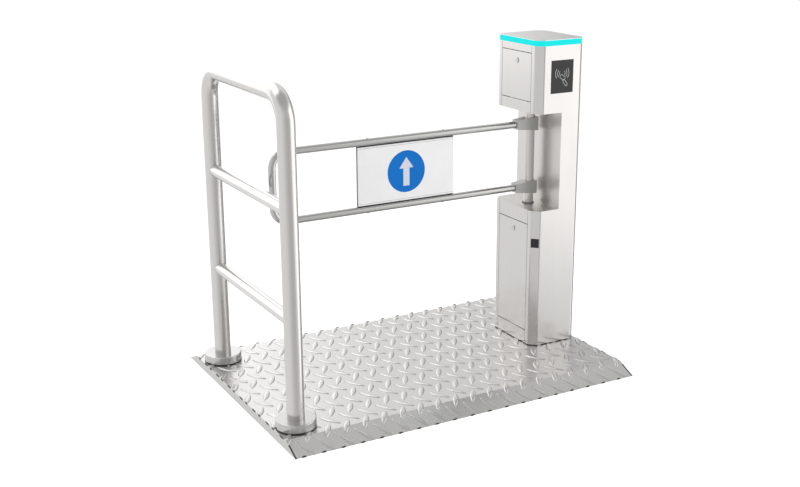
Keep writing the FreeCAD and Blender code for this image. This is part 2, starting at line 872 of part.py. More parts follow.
def door(name, low, high):
    """A door pressed as a shallow tray, with an apron that hides its hinge knuckles, and its lock."""
    axis = f"{low} + hinge_knuckle / 2"
    tray_low = f"{low} + hinge_knuckle + hinge_gap"
    lock_z = f"{high} - lock_drop"
    body = new_body()
    tray = rectangle(sketch_on(body, "YZ_Plane", "cabinet_left"), "-door_half", "door_half", tray_low, high)
    pad(body, tray, "door_return")
    hollow = rectangle(sketch_on(body, "YZ_Plane", "cabinet_left + door_return"),
                       "sheet - door_half", "door_half - sheet", f"{tray_low} + sheet", f"{high} - sheet")
    cut(body, hollow, "door_return - sheet")
    apron = outline(sketch_on(body, "XZ_Plane"), [
        ("cabinet_left", low),
        ("inside_left", low),
        ("inside_left", axis),
        ("hinge_x", axis),
        ("hinge_x", f"{tray_low} + sheet"),
        ("cabinet_left", f"{tray_low} + sheet"),
    ])
    pad(body, apron, "2 * door_half", both_ways=True)
    knuckle = circle(sketch_on(body, "XZ_Plane"), "hinge_x", axis, "hinge_knuckle / 2")
    pad(body, knuckle, "2 * door_half", both_ways=True)
    spaces = sketch_on(body, "YZ_Plane", "inside_left")
    rectangle(spaces, "0.2 * door_half", "0.6 * door_half", f"{low} - sheet", tray_low)
    rectangle(spaces, "-0.6 * door_half", "-0.2 * door_half", f"{low} - sheet", tray_low)
    cut(body, spaces, "2 * hinge_knuckle", backwards=True)
    bore = circle(sketch_on(body, "XZ_Plane"), "hinge_x", axis, "hinge_pin_diameter / 2 + running_fit")
    cut(body, bore, "4 * door_half", both_ways=True)
    keyhole = circle(sketch_on(body, "YZ_Plane", "cabinet_left - sheet"), "0", lock_z,
                     "lock_body_diameter / 2 + window_fit")
    cut(body, keyhole, "3 * sheet", backwards=True)
    node(body, f"{name}_door")
    lock(name, lock_z)


def hinge_pins(door_lows):
    """The pins that the doors' knuckles turn on."""
    pins = []
    for low in door_lows:
        axis = f"{low} + hinge_knuckle / 2"
        pin = rod("hinge_x", "door_half", axis, "hinge_pin_diameter / 2", "2 * door_half", Vector(0, -1, 0))
        pins.append(pin)
    group(pins, "hinge_pins")


def lock(name, lock_z):
    """A cam lock: the barrel with its nut, and the keyed plug that carries the cam."""
    bore = "lock_plug_diameter / 2 + running_fit"
    barrel = turned([
        ("-lock_head_height", bore),
        ("-lock_head_height", "lock_head_diameter / 2"),
        ("0", "lock_head_diameter / 2"),
        ("0", "lock_body_diameter / 2"),
        ("sheet", "lock_body_diameter / 2"),
        ("sheet", "lock_nut_diameter / 2"),
        ("sheet + lock_nut_height", "lock_nut_diameter / 2"),
        ("sheet + lock_nut_height", "lock_body_diameter / 2"),
        ("lock_length", "lock_body_diameter / 2"),
        ("lock_length", bore),
    ], along_x=True)
    place(barrel, "cabinet_left", "0", lock_z)
    node(barrel, f"{name}_lock_barrel")
    plug = turned([
        ("-lock_head_height", "0"),
        ("-lock_head_height", "lock_plug_diameter / 2"),
        ("lock_length + cam_gap + 2 * cam_thickness", "lock_plug_diameter / 2"),
        ("lock_length + cam_gap + 2 * cam_thickness", "0"),
    ], along_x=True)
    cam = sketch_on(plug, "YZ_Plane", "lock_length + cam_gap")
    rectangle(cam, "-cam_width / 2", "cam_reach", "-cam_width / 2", "cam_width / 2")
    pad(plug, cam, "cam_thickness")
    slot = sketch_on(plug, "YZ_Plane", "-lock_head_height - sheet")
    rectangle(slot, "-key_slot_length / 2", "key_slot_length / 2",
              "-key_slot_width / 2", "key_slot_width / 2")
    cut(plug, slot, "key_slot_depth + sheet", backwards=True)
    place(plug, "cabinet_left", "0", lock_z)
    node(plug, f"{name}_lock_cam")


def light_ring():
    """The clear ring of light on the shell, its board inside it and the lid over both."""
    ring = new_body()
    wall = sketch_on(ring, "XY_Plane", "shell_top")
    outline(wall, cabinet_outline("0"))
    outline(wall, cabinet_outline("light_width"))
    pad(ring, wall, "light_height")
    round_folds(ring, "0")
    node(ring, "light_ring")
    board = new_body()
    strip = sketch_on(board, "XY_Plane", "shell_top")
    outline(strip, cabinet_outline("light_width + sheet + 2 * lid_fit"))
    outline(strip, cabinet_outline("light_width + sheet + 2 * lid_fit + light_board_width"))
    pad(board, strip, "light_board_thickness")
    node(board, "light_board")
    lid = new_body()
    sheet_top = outline(sketch_on(lid, "XY_Plane", "shell_top + light_height"), cabinet_outline("lid_inset"))
    pad(lid, sheet_top, "lid_thickness")
    round_folds(lid, "lid_inset")
    skirt = sketch_on(lid, "XY_Plane", "shell_top + light_height")
    outline(skirt, cabinet_outline("light_width + lid_fit"))
    outline(skirt, cabinet_outline("light_width + lid_fit + sheet"))
    pad(lid, skirt, "lid_skirt", backwards=True)
    node(lid, "top_lid")


def reader():
    """The dark reader window, flush in the front face, and the board on the bosses behind it."""
    window = new_body()
    low = "reader_low"
    high = f"{low} + reader_height"
    left = "cabinet_middle - reader_width / 2"
    right = "cabinet_middle + reader_width / 2"
    face = rectangle(sketch_on(window, "XZ_Plane", "cabinet_half"), left, right, low, high)
    pad(window, face, "sheet", backwards=True)
    back = rectangle(sketch_on(window, "XZ_Plane", "inside_half"), f"{left} - window_lap",
                     f"{right} + window_lap", f"{low} - window_lap", f"{high} + window_lap")
    pad(window, back, "window_back", backwards=True)
    bosses = sketch_on(window, "XZ_Plane", "inside_half - window_back")
    for x in (f"{left} + reader_boss_inset", f"{right} - reader_boss_inset"):
        for z in (f"{low} + reader_boss_inset", f"{high} - reader_boss_inset"):
            circle(bosses, x, z, "reader_boss / 2")
    pad(window, bosses, "reader_boss_height", backwards=True)
    node(window, "reader_window")
    board = new_body()
    front = "inside_half - window_back - reader_boss_height"
    sheet_outline = rectangle(sketch_on(board, "XZ_Plane", front), left, right, low, high)
    pad(board, sheet_outline, "board_thickness", backwards=True)
    coil = sketch_on(board, "XZ_Plane", f"{front} - board_thickness")
    rectangle(coil, f"{left} + reader_boss_inset", f"{right} - reader_boss_inset",
              f"{low} + reader_boss_inset", f"{high} - reader_boss_inset")
    inner = "(reader_boss_inset + reader_coil_width)"
    rectangle(coil, f"{left} + {inner}", f"{right} - {inner}", f"{low} + {inner}", f"{high} - {inner}")
    pad(board, coil, "reader_coil_height", backwards=True)
    node(board, "reader_board")


def sensor():
    """The dark sensor window, flush in the corner face, and the sensor barrel behind it."""
    window = new_body()
    face = rectangle(sketch_on(window, "XZ_Plane"), "-sensor_width / 2", "sensor_width / 2",
                     "-sensor_height / 2", "sensor_height / 2")
    pad(window, face, "sheet", backwards=True)
    back = rectangle(sketch_on(window, "XZ_Plane", "-sheet"), "-sensor_width / 2 + sensor_lap",
                     "sensor_width / 2 - sensor_lap", "-sensor_height / 2 - window_lap",
                     "sensor_height / 2 + window_lap")
    pad(window, back, "window_back", backwards=True)
    barrel = new_body()
    tail = sketch_on(barrel, "XZ_Plane", "-sheet - window_back")
    circle(tail, "0", "0", "sensor_body_diameter / 2")
    pad(barrel, tail, "sensor_body_length", backwards=True)
    for body, label in ((window, "sensor_window"), (barrel, "sensor_barrel")):
        body.Placement = Placement(Vector(), Rotation(Vector(0, 0, 1), -45))
        place(body, "cabinet_left + corner_chamfer / 2", "corner_chamfer / 2 - cabinet_half",
              "sensor_middle")
        node(body, label)


# Pivot and drive.

def pivot_shaft():
    """The shaft with a journal at each end, standing by its shoulder on the lower bearing."""
    shoulder = "upper_seat - axial_play"
    body = turned([
        ("0", "stop_bottom"),
        ("journal_diameter / 2", "stop_bottom"),
        ("journal_diameter / 2", "lower_seat"),
        ("shaft_diameter / 2", "lower_seat"),
        ("shaft_diameter / 2", shoulder),
        ("journal_diameter / 2", shoulder),
        ("journal_diameter / 2", "upper_seat + housing_height + shaft_top"),
        ("0", "upper_seat + housing_height + shaft_top"),
    ])
    place(body, "shaft_x")
    node(body, "pivot_shaft")


def bearing(name, seat, away):
    """A ball bearing with its faces set back between the rings, and the flanged housing round it.

    The housing's flange lies on the liner at the seat, and away is the sign of the other side.
    """
    bore = "journal_diameter / 2 + running_fit"
    rim = "bearing_diameter / 2"
    inner = f"{bore} + bearing_ring"
    outer = f"{rim} - bearing_ring"
    near = "0"
    far = f"{away}bearing_width"
    near_recess = f"{away}bearing_recess"
    far_recess = f"{away}(bearing_width - bearing_recess)"
    ring = turned([
        (bore, near), (inner, near), (inner, near_recess), (outer, near_recess), (outer, near), (rim, near),
        (rim, far), (outer, far), (outer, far_recess), (inner, far_recess), (inner, far), (bore, far),
    ])
    place(ring, "shaft_x", "0", seat)
    node(ring, f"{name}_bearing")
    pocket = f"{rim} + running_fit"
    housing = turned([
        (pocket, near),
        ("housing_flange / 2", near),
        ("housing_flange / 2", f"{away}housing_flange_thickness"),
        ("housing_boss / 2", f"{away}housing_flange_thickness"),
        ("housing_boss / 2", f"{away}housing_height"),
        ("housing_ledge_bore / 2", f"{away}housing_height"),
        ("housing_ledge_bore / 2", far),
        (pocket, far),
    ])
    place(housing, "shaft_x", "0", seat)
    node(housing, f"{name}_bearing_housing")


def shaft_seal():
    """The rubber ring round the shaft on the notch floor, thinned to a lip above."""
    bore = "shaft_diameter / 2 + seal_gap"
    body = turned([
        (bore, "0"),
        ("seal_diameter / 2", "0"),
        ("seal_diameter / 2", "seal_height / 2"),
        ("(seal_diameter + shaft_diameter) / 4", "seal_height"),
        (bore, "seal_height"),
    ])
    place(body, "shaft_x", "0", "notch_low")
    node(body, "shaft_seal")


def gear_teeth_face(teeth, turn):
    """Return a spur gear's face with each involute flank drawn as one arc.

    A tooth stands at the angle turn, in degrees. Its root is as deep as the mating tooth needs.
    """
    module = value("gear_module")
    pressure = math.radians(value("pressure_angle"))
    pitch_radius = module * teeth / 2
    base_radius = pitch_radius * math.cos(pressure)
    tip_radius = pitch_radius + module
    root_radius = pitch_radius - 1.25 * module
    half_pitch_tooth = (math.pi * module - value("backlash")) / (4 * pitch_radius)

    def involute(angle):
        return math.tan(angle) - angle

    def half_angle(radius):
        if radius <= base_radius:
            return half_pitch_tooth + involute(pressure)
        return half_pitch_tooth + involute(pressure) - involute(math.acos(base_radius / radius))

    def point(radius, angle):
        return Vector(radius * math.cos(angle), radius * math.sin(angle), 0)

    edges = []
    step = 2 * math.pi / teeth
    low_radius = max(root_radius, base_radius)
    mid_radius = (low_radius + tip_radius) / 2
    for tooth in range(teeth):
        middle = math.radians(turn) + tooth * step
        flanks = {}
        for side in (-1, 1):
            flanks[side] = [point(radius, middle + side * half_angle(radius))
                            for radius in (low_radius, mid_radius, tip_radius)]
        foot = [point(root_radius, middle + side * half_angle(low_radius)) for side in (-1, 1)]
        edges.append(Part.LineSegment(foot[0], flanks[-1][0]).toShape())
        edges.append(Part.Arc(*flanks[-1]).toShape())
        edges.append(Part.LineSegment(flanks[-1][2], flanks[1][2]).toShape())
        edges.append(Part.Arc(*reversed(flanks[1])).toShape())
        edges.append(Part.LineSegment(flanks[1][0], foot[1]).toShape())
        next_foot = point(root_radius, middle + step - half_angle(low_radius))
        edges.append(Part.LineSegment(foot[1], next_foot).toShape())
    return Part.Face(Part.Wire(edges))


def gear_pair():
    """The gear keyed on the shaft's tail, and the pinion on the motor's output shaft."""
    width = value("gear_width")
    hub_height = value("gear_hub_height")
    bore = value("journal_diameter / 2 + socket_fit")
    disc = gear_teeth_face(int(value("gear_teeth")), 0).extrude(Vector(0, 0, width))
    hub = Part.makeCylinder(value("gear_hub_diameter") / 2, hub_height, Vector(0, 0, -hub_height))
    hole = Part.makeCylinder(bore, width + 4 * hub_height, Vector(0, 0, -2 * hub_height))
    gear = doc.addObject("Part::Feature", "Gear")
    gear.Shape = disc.fuse(hub).cut(hole)
    place(gear, "shaft_x", "0", "gear_bottom")
    node(gear, "drive_gear")
    pinion_teeth = int(value("pinion_teeth"))
    teeth = gear_teeth_face(pinion_teeth, 180 + 180 / pinion_teeth).extrude(Vector(0, 0, width))
    reach = value("gear_bottom - bracket_bottom + motor_bore_depth")
    stub = Part.makeCylinder(value("pinion_shaft_diameter") / 2, reach + width / 2, Vector(0, 0, -reach))
    pinion = doc.addObject("Part::Feature", "Pinion")
    pinion.Shape = teeth.fuse(stub)
    place(pinion, "motor_x", "0", "gear_bottom")
    node(pinion, "drive_pinion")


def gear_motor():
    """The gear motor hung under the bracket: pilot, gearbox, motor and encoder cap."""
    bore = "pinion_shaft_diameter / 2 + running_fit"
    gearbox_low = "-gearbox_length"
    motor_low = "-gearbox_length - motor_length"
    body = turned([
        (bore, "bracket_thickness"),
        ("motor_pilot_diameter / 2", "bracket_thickness"),
        ("motor_pilot_diameter / 2", "0"),
        ("gearbox_diameter / 2", "0"),
        ("gearbox_diameter / 2", gearbox_low),
        ("motor_diameter / 2", gearbox_low),
        ("motor_diameter / 2", motor_low),
        ("encoder_diameter / 2", motor_low),
        ("encoder_diameter / 2", f"{motor_low} - encoder_length"),
        ("0", f"{motor_low} - encoder_length"),
        ("0", "-motor_bore_depth - running_fit"),
        (bore, "-motor_bore_depth - running_fit"),
    ])
    place(body, "motor_x", "0", "bracket_bottom")
    node(body, "gear_motor")


def motor_bracket():
    """The folded shelf across the cabinet that the motor hangs from."""
    body = new_body()
    left = "cabinet_left + bracket_setback"
    plan = outline(sketch_on(body, "XY_Plane", "bracket_top"), [
        (left, "-inside_half"),
        ("inside_right - inside_chamfer", "-inside_half"),
        ("inside_right", "inside_chamfer - inside_half"),
        ("inside_right", "inside_half - inside_chamfer"),
        ("inside_right - inside_chamfer", "inside_half"),
        (left, "inside_half"),
    ])
    pad(body, plan, "bracket_flange", backwards=True)
    under = rectangle(sketch_on(body, "YZ_Plane"), "bracket_thickness - inside_half",
                      "inside_half - bracket_thickness", "bracket_top - 2 * bracket_flange", "bracket_bottom")
    cut(body, under, "4 * half_length", both_ways=True)
    drill(body, [("motor_x", "0", "motor_pilot_diameter / 2 + motor_pilot_gap")], "4 * notch_high")
    node(body, "motor_bracket")


def end_stops():
    """The finger on the shaft and the two rubber buffers that end its swing."""
    finger = new_body()
    collar = circle(sketch_on(finger, "XY_Plane"), "0", "0", "stop_collar_diameter / 2")
    pad(finger, collar, "stop_height")
    arm = rectangle(sketch_on(finger, "XY_Plane"), "0", "stop_reach", "-stop_width / 2", "stop_width / 2")
    pad(finger, arm, "stop_height")
    drill(finger, [("0", "0", "journal_diameter / 2 + socket_fit")], "4 * stop_height")
    place(finger, "shaft_x", "0", "stop_bottom")
    node(finger, "stop_finger")
    height = "stop_top - bracket_top"
    buffers = []
    for side in ("-", ""):
        buffer = turned([
            ("0", "0"),
            ("buffer_diameter / 2", "0"),
            ("buffer_diameter / 2", f"{height} - buffer_edge"),
            ("buffer_diameter / 2 - buffer_edge", height),
            ("0", height),
        ])
        place(buffer, "shaft_x - stop_width / 2 - stop_gap - buffer_diameter / 2",
              f"{side}buffer_offset", "bracket_top")
        buffers.append(buffer)
    group(buffers, "stop_buffers")


# Power supply and control board.

def supply_tray():
    """The tray on spacers against the cabinet's outer wall, and the power supply on it."""
    tray = new_body()
    back = "inside_right - tray_spacer"
    high = "motor_low - tray_gap"
    low = f"{high} - tray_height"
    plate = rectangle(sketch_on(tray, "YZ_Plane", back), "-tray_width / 2", "tray_width / 2", low, high)
    pad(tray, plate, "tray_thickness", backwards=True)
    spacers = sketch_on(tray, "YZ_Plane", back)
    reach = "tray_width / 2 - tray_spacer_inset"
    for y in (reach, f"-({reach})"):
        for z in (f"{low} + tray_spacer_inset", f"{high} - tray_spacer_inset"):
            circle(spacers, y, z, "tray_spacer_diameter / 2")
    pad(tray, spacers, "tray_spacer")
    node(tray, "supply_tray")
    supply = new_body()
    front = f"{back} - tray_thickness"
    supply_low = f"{low} + (tray_height - supply_height) / 2"
    case = rectangle(sketch_on(supply, "YZ_Plane", front), "-supply_width / 2", "supply_width / 2",
                     supply_low, f"{supply_low} + supply_height")
    pad(supply, case, "supply_depth", backwards=True)
    terminals = rectangle(sketch_on(supply, "YZ_Plane", f"{front} - supply_depth"),
                          "supply_cover - supply_width / 2", "supply_width / 2 - supply_cover",
                          supply_low, f"{supply_low} + supply_terminal_height")
    cut(supply, terminals, "supply_terminal_depth", backwards=True)
    vents = sketch_on(supply, "YZ_Plane", f"{front} - supply_depth")
    middle = f"{supply_low} + (supply_height + supply_terminal_height) / 2"
    for index in (-4, -3, -2, -1, 0, 1, 2, 3, 4):
        centre = f"{middle} + {index} * vent_pitch"
        rectangle(vents, "-vent_length / 2", "vent_length / 2",
                  f"{centre} - vent_width / 2", f"{centre} + vent_width / 2")
    cut(supply, vents, "supply_cover", backwards=True)
    node(supply, "power_supply")


def control_board():
    """The control board on spacers in the upper box, with its terminal rows and main chip."""
    body = new_body()
    back = "inside_right - control_spacer"
    high = "shell_top - control_drop"
    low = f"{high} - control_height"
    front = f"{back} - board_thickness"
    plate = rectangle(sketch_on(body, "YZ_Plane", back), "-control_width / 2", "control_width / 2", low, high)
    pad(body, plate, "board_thickness", backwards=True)
    spacers = sketch_on(body, "YZ_Plane", back)
    reach = "control_width / 2 - control_spacer_inset"
    for y in (reach, f"-({reach})"):
        for z in (f"{low} + control_spacer_inset", f"{high} - control_spacer_inset"):
            circle(spacers, y, z, "control_spacer_diameter / 2")
    pad(body, spacers, "control_spacer")
    rows = sketch_on(body, "YZ_Plane", front)
    row_half = "control_width / 2 - 2 * control_spacer_inset"
    for z in (f"{low} + terminal_margin", f"{high} - terminal_margin - terminal_height"):
        rectangle(rows, f"-({row_half})", row_half, z, f"{z} + terminal_height")
    pad(body, rows, "terminal_depth", backwards=True)
    middle = f"{low} + control_height / 2"
    chip = rectangle(sketch_on(body, "YZ_Plane", front), "-chip_size / 2", "chip_size / 2",
                     f"{middle} - chip_size / 2", f"{middle} + chip_size / 2")
    pad(body, chip, "chip_height", backwards=True)
    node(body, "control_board")


# Swing arm.

def sign_screw_places():
    """Return the x places of the screws through the tubes into the sign's edges."""
    reach = "(sign_width / 2 - sign_screw_inset)"
    return [f"sign_offset - {reach}", f"sign_offset + {reach}"]


def arm_tube():
    """The tube bent into a U, its legs in the clamps, drilled for the sign's screws."""
    body = new_body()
    path = bent_path(sketch_on(body, "XZ_Plane"), "arm_end_x + arm_tube_radius", "arm_root_x",
                     "lower_arm_z", "upper_arm_z", "arm_bend_radius", True)
    ring = sketch_on(body, "YZ_Plane", "arm_root_x")
    circle(ring, "0", "upper_arm_z", "arm_tube_radius")
    circle(ring, "0", "upper_arm_z", "arm_tube_radius - arm_tube_wall")
    tube_along(body, path, ring)
    holes = [(x, "0", "sign_screw_diameter / 2 + sign_screw_fit") for x in sign_screw_places()]
    drill(body, holes, "4 * upper_arm_z")
    node(body, "arm_tube")


def clamp(name, height):
    """A block tapered from the shaft's bore to the tube's socket, with holes for its grub screws."""
    body = new_body()
    root = rectangle(sketch_on(body, "YZ_Plane", "clamp_tail"), "-clamp_thickness / 2", "clamp_thickness / 2",
                     "-clamp_height / 2", "clamp_height / 2")
    nose = rectangle(sketch_on(body, "YZ_Plane", "-clamp_reach"), "-clamp_nose_thickness / 2",
                     "clamp_nose_thickness / 2", "-clamp_nose_height / 2", "clamp_nose_height / 2")
    taper = body.newObject("PartDesign::AdditiveLoft", "Loft")
    taper.Profile = root
    taper.Sections = [nose]
    taper.Ruled = True
    tail = value("clamp_tail")

    def is_tail_corner(edge):
        return edge.BoundBox.XMin > tail - NEAR and edge.BoundBox.ZLength > edge.BoundBox.YLength

    round_edges(body, "clamp_corner_radius", is_tail_corner)
    drill(body, [("0", "0", "shaft_diameter / 2 + socket_fit")], "4 * clamp_height")
    socket = sketch_on(body, "YZ_Plane", "-clamp_reach - sheet")
    circle(socket, "0", "0", "arm_tube_radius + socket_fit")
    cut(body, socket, "arm_socket + sheet", backwards=True)
    grubs = sketch_on(body, "XZ_Plane")
    circle(grubs, "0", "0", "shaft_grub_diameter / 2 + thread_clearance")
    circle(grubs, "tube_grub_setback - clamp_reach", "0", "tube_grub_diameter / 2 + thread_clearance")
    cut(body, grubs, "clamp_thickness")
    place(body, "shaft_x", "0", height)
    node(body, f"{name}_clamp")


def clamp_grubs(heights):
    """Grub screws in the back of the clamps, against the shaft and against the tube."""
    screws = []
    for height in heights:
        back = Vector(0, 1, 0)
        screws.append(rod("shaft_x", "shaft_diameter / 2 + socket_fit", height,
                          "shaft_grub_diameter / 2", "grub_length", back))
        screws.append(rod("shaft_x - clamp_reach + tube_grub_setback", "arm_tube_radius + socket_fit", height,
                          "tube_grub_diameter / 2", "grub_length", back))
    group(screws, "clamp_grubs")


def sign():
    """The sign panel between the tubes, and the screws that hold its edges."""
    panel = new_body()
    face = rectangle(sketch_on(panel, "XZ_Plane"), "sign_offset - sign_width / 2",
                     "sign_offset + sign_width / 2", "sign_low", "sign_high")
    pad(panel, face, "sign_thickness", both_ways=True)
    for edge, backwards in (("sign_high", False), ("sign_low", True)):
        holes = sketch_on(panel, "XY_Plane", edge)
        for x in sign_screw_places():
            circle(holes, x, "0", "sign_screw_diameter / 2 + sign_screw_fit")
        cut(panel, holes, "sign_screw_bite + sign_screw_fit", backwards=backwards)
    node(panel, "sign_panel")
    screws = []
    length = "arm_tube_diameter + sign_fit + sign_screw_bite + sign_screw_fit"
    for x in sign_screw_places():
        for edge, outside, way in (("upper_arm_z", "+", -1), ("lower_arm_z", "-", 1)):
            seat = f"{edge} {outside} (arm_tube_radius + sign_screw_fit)"
            shank = rod(x, "0", seat, "sign_screw_diameter / 2", length, Vector(0, 0, way))
            head = rod(x, "0", seat, "sign_screw_head / 2", "sign_screw_head_height", Vector(0, 0, -way))
            screws.append(joined(shank, head))
    group(screws, "sign_screws")


def build():
    """Make every sub-part."""
    fill_sheets()
    anchors = [(f"cabinet_middle {sx} anchor_spacing_x / 2", f"{sy}anchor_spacing_y / 2")
               for sx in "+-" for sy in ("", "-")]
    anchor_holes = [(x, y, "(anchor_diameter + bolt_clearance) / 2") for x, y in anchors]
    cable_hole = ("cabinet_middle + cable_hole_offset", "0", "cable_hole / 2")
    feet = flange_bolt_points("-") + flange_bolt_points("")
    flange_holes = [(x, y, "(flange_bolt_diameter + bolt_clearance) / 2") for x, y in feet]
    floor_plate(anchor_holes + flange_holes + [cable_hole])
    side_plate("left_side_plate", "-half_length")
    side_plate("right_side_plate", "half_length - side_plate_thickness")
    bearers(4)
    guard_hoop()
    cross_rail("lower_cross_rail", "lower_rail_rise")
    cross_rail("upper_cross_rail", "upper_rail_rise")
    post_foot("front", "-")
    post_foot("rear", "")
    bolts(feet, "flange", "base_height + flange_thickness", "flange_bolt_diameter",
          "flange_bolt_head", "flange_bolt_head_height")
    cabinet_shell()
    notch_liner()
    cabinet_foot(anchor_holes + [cable_hole])
    bolts(anchors, "anchor", "base_height + foot_thickness", "anchor_diameter",
          "anchor_head", "anchor_head_height")
    door_head("upper_door_head", "upper_door_high", "shell_top - sheet", "shell_top - sheet")
    door_sill("upper_door_sill", "upper_door_low", "notch_high", "upper_seat")
    door_head("lower_door_head", "lower_door_high", "notch_low", "lower_seat")
    door_sill("lower_door_sill", "lower_door_low", "base_height", "base_height")
    door("upper", "upper_door_low", "upper_door_high")
    door("lower", "lower_door_low", "lower_door_high")
    hinge_pins(("lower_door_low", "upper_door_low"))
    light_ring()
    reader()
    sensor()
    pivot_shaft()
    bearing("lower", "lower_seat", "-")
    bearing("upper", "upper_seat", "")
    shaft_seal()
    gear_pair()
    gear_motor()
    motor_bracket()
    end_stops()
    supply_tray()
    control_board()
    arm_tube()
    clamp("lower", "lower_arm_z")
    clamp("upper", "upper_arm_z")
    clamp_grubs(("lower_arm_z", "upper_arm_z"))
    sign()
    doc.recompute()


def check():
    """Stop if any object failed or any sub-part is empty or broken."""
    for thing in doc.Objects:
        if "Invalid" in thing.State or "Error" in thing.State:
            raise ValueError(f"{thing.Label} failed: {thing.State}")
    for thing in nodes:
        if thing.Shape.isNull() or not thing.Shape.Solids or not thing.Shape.isValid():
            raise ValueError(f"{thing.Label} has no sound shape")


def write():
    """Write each sub-part to its own file."""
    os.makedirs("parts", exist_ok=True)
    for thing in nodes:
        thing.Shape.exportStep(f"parts/{thing.Label}.step")


build()
check()
write()
print(f"{len(nodes)} sub-parts written")
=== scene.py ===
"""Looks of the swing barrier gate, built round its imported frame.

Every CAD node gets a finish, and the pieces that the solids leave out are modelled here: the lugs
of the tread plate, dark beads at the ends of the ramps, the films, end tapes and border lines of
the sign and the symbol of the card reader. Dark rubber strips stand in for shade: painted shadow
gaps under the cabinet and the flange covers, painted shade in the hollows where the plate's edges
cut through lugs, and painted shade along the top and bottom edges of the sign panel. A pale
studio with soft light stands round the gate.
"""

from __future__ import annotations

import json
import logging
import math
from collections.abc import Callable, Iterator
from contextlib import contextmanager
from dataclasses import dataclass
from enum import Enum
from functools import cache
from typing import Any

import bmesh
import bpy
from mathutils import Matrix, Vector


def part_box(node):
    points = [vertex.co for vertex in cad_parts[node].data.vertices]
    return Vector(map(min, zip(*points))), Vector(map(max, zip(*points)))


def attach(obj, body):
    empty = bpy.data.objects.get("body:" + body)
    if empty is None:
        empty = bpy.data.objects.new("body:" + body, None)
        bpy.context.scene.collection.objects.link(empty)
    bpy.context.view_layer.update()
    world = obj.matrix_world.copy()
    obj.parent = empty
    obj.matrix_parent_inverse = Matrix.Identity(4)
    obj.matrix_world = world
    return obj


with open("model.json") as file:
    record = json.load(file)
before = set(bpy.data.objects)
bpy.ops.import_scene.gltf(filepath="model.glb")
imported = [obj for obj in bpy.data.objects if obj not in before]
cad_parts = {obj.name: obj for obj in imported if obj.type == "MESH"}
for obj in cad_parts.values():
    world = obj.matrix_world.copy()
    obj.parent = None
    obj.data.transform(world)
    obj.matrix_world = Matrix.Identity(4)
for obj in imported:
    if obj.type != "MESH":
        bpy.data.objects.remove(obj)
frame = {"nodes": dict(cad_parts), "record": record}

LOG = logging.getLogger("gate")
MM = 0.001
HAIR = 0.01 * MM
SIDES = (-1.0, 1.0)

Colour = tuple[float, float, float, float]
Pair = tuple[float, float]
Triple = tuple[float, float, float]
Piece = bpy.types.Object
Socket = bpy.types.NodeSocket
Outputs = bpy.types.NodeOutputs
Values = dict[Any, Any] | None


def grey(level: float) -> Colour:
    """Return a neutral colour."""
    return (level, level, level, 1.0)


def shade(colour: Colour, share: float) -> Colour:
    """Return a colour with each of its levels multiplied by a share."""
    red, green, blue, alpha = colour
    return (red * share, green * share, blue * share, alpha)


class Axis(Enum):
    """The way that the polishing lines of a finish run."""

    X = (0.02, 1.0, 1.0)
    Y = (1.0, 0.02, 1.0)
    Z = (1.0, 1.0, 0.02)
    NONE = (1.0, 1.0, 1.0)


class Face(Enum):
    """The way that an upright face looks, as the turn of a piece that was drawn flat."""

    FRONT = (math.pi / 2, 0.0, 0.0)
    RIGHT = (math.pi / 2, 0.0, math.pi / 2)
    BACK = (math.pi / 2, 0.0, math.pi)
    LEFT = (math.pi / 2, 0.0, -math.pi / 2)


# Modelling by hand


def pick(*pieces: Piece) -> None:
    """Select some pieces alone and make the first one active."""
    bpy.ops.object.select_all(action="DESELECT")
    for piece in pieces:
        piece.select_set(True)
    bpy.context.view_layer.objects.active = pieces[0]


def settle(piece: Piece) -> Piece:
    """Return a piece whose place, turn and scale have gone into its mesh."""
    pick(piece)
    bpy.ops.object.transform_apply(location=True, rotation=True, scale=True)
    return piece


def moved(piece: Piece, place: Triple, turn: Triple) -> Piece:
    """Return a piece that was moved to a place and turned, with both in its mesh."""
    piece.location, piece.rotation_euler = place, turn
    return settle(piece)


def started(
    operator: Callable[..., Any], scale: Triple = (1.0, 1.0, 1.0), **settings: Any
) -> Piece:
    """Start a piece from a primitive.

    Args:
        operator: The operator that adds the primitive.
        scale: What the primitive's sizes are multiplied by.
        settings: The operator's own settings.

    Returns:
        The new piece, with its place and scale in its mesh.
    """
    bpy.ops.object.select_all(action="DESELECT")
    operator(**settings)
    bpy.context.object.scale = scale
    return settle(bpy.context.object)


def disc(points: int, radius: float, **settings: Any) -> Piece:
    """Return a filled circle to start a piece from."""
    circle = bpy.ops.mesh.primitive_circle_add
    return started(circle, vertices=points, radius=radius, fill_type="NGON", **settings)


@contextmanager
def editing(piece: Piece) -> Iterator[None]:
    """Open a piece in edit mode with all of it selected, and close it again.

    Args:
        piece: The mesh object to shape.
    """
    pick(piece)
    bpy.ops.object.mode_set(mode="EDIT")
    bpy.ops.mesh.select_mode(type="VERT")
    bpy.ops.mesh.select_all(action="SELECT")
    yield
    bpy.ops.object.mode_set(mode="OBJECT")


def select(piece: Piece, kind: str, test: Callable[[Any], bool]) -> None:
    """Select the elements of a piece in edit mode that pass a test, and no others.

    Args:
        piece: The mesh object that is open in edit mode.
        kind: VERT, EDGE or FACE.
        test: Says of an element whether it is wanted.
    """
    bpy.ops.mesh.select_mode(type=kind)
    bpy.ops.mesh.select_all(action="DESELECT")
    shape = bmesh.from_edit_mesh(piece.data)
    for element in {"VERT": shape.verts, "EDGE": shape.edges, "FACE": shape.faces}[kind]:
        if test(element):
            element.select_set(True)
    shape.select_flush_mode()
    bmesh.update_edit_mesh(piece.data)


def shift(piece: Piece, test: Callable[[Any], bool], offset: Triple) -> None:
    """Move the vertices of a piece in edit mode that pass a test."""
    select(piece, "VERT", test)
    bpy.ops.transform.translate(value=offset)


def fill_open_edge(piece: Piece) -> None:
    """Close the open edge of a piece in edit mode with a face."""
    select(piece, "EDGE", lambda edge: edge.is_boundary)
    bpy.ops.mesh.edge_face_add()


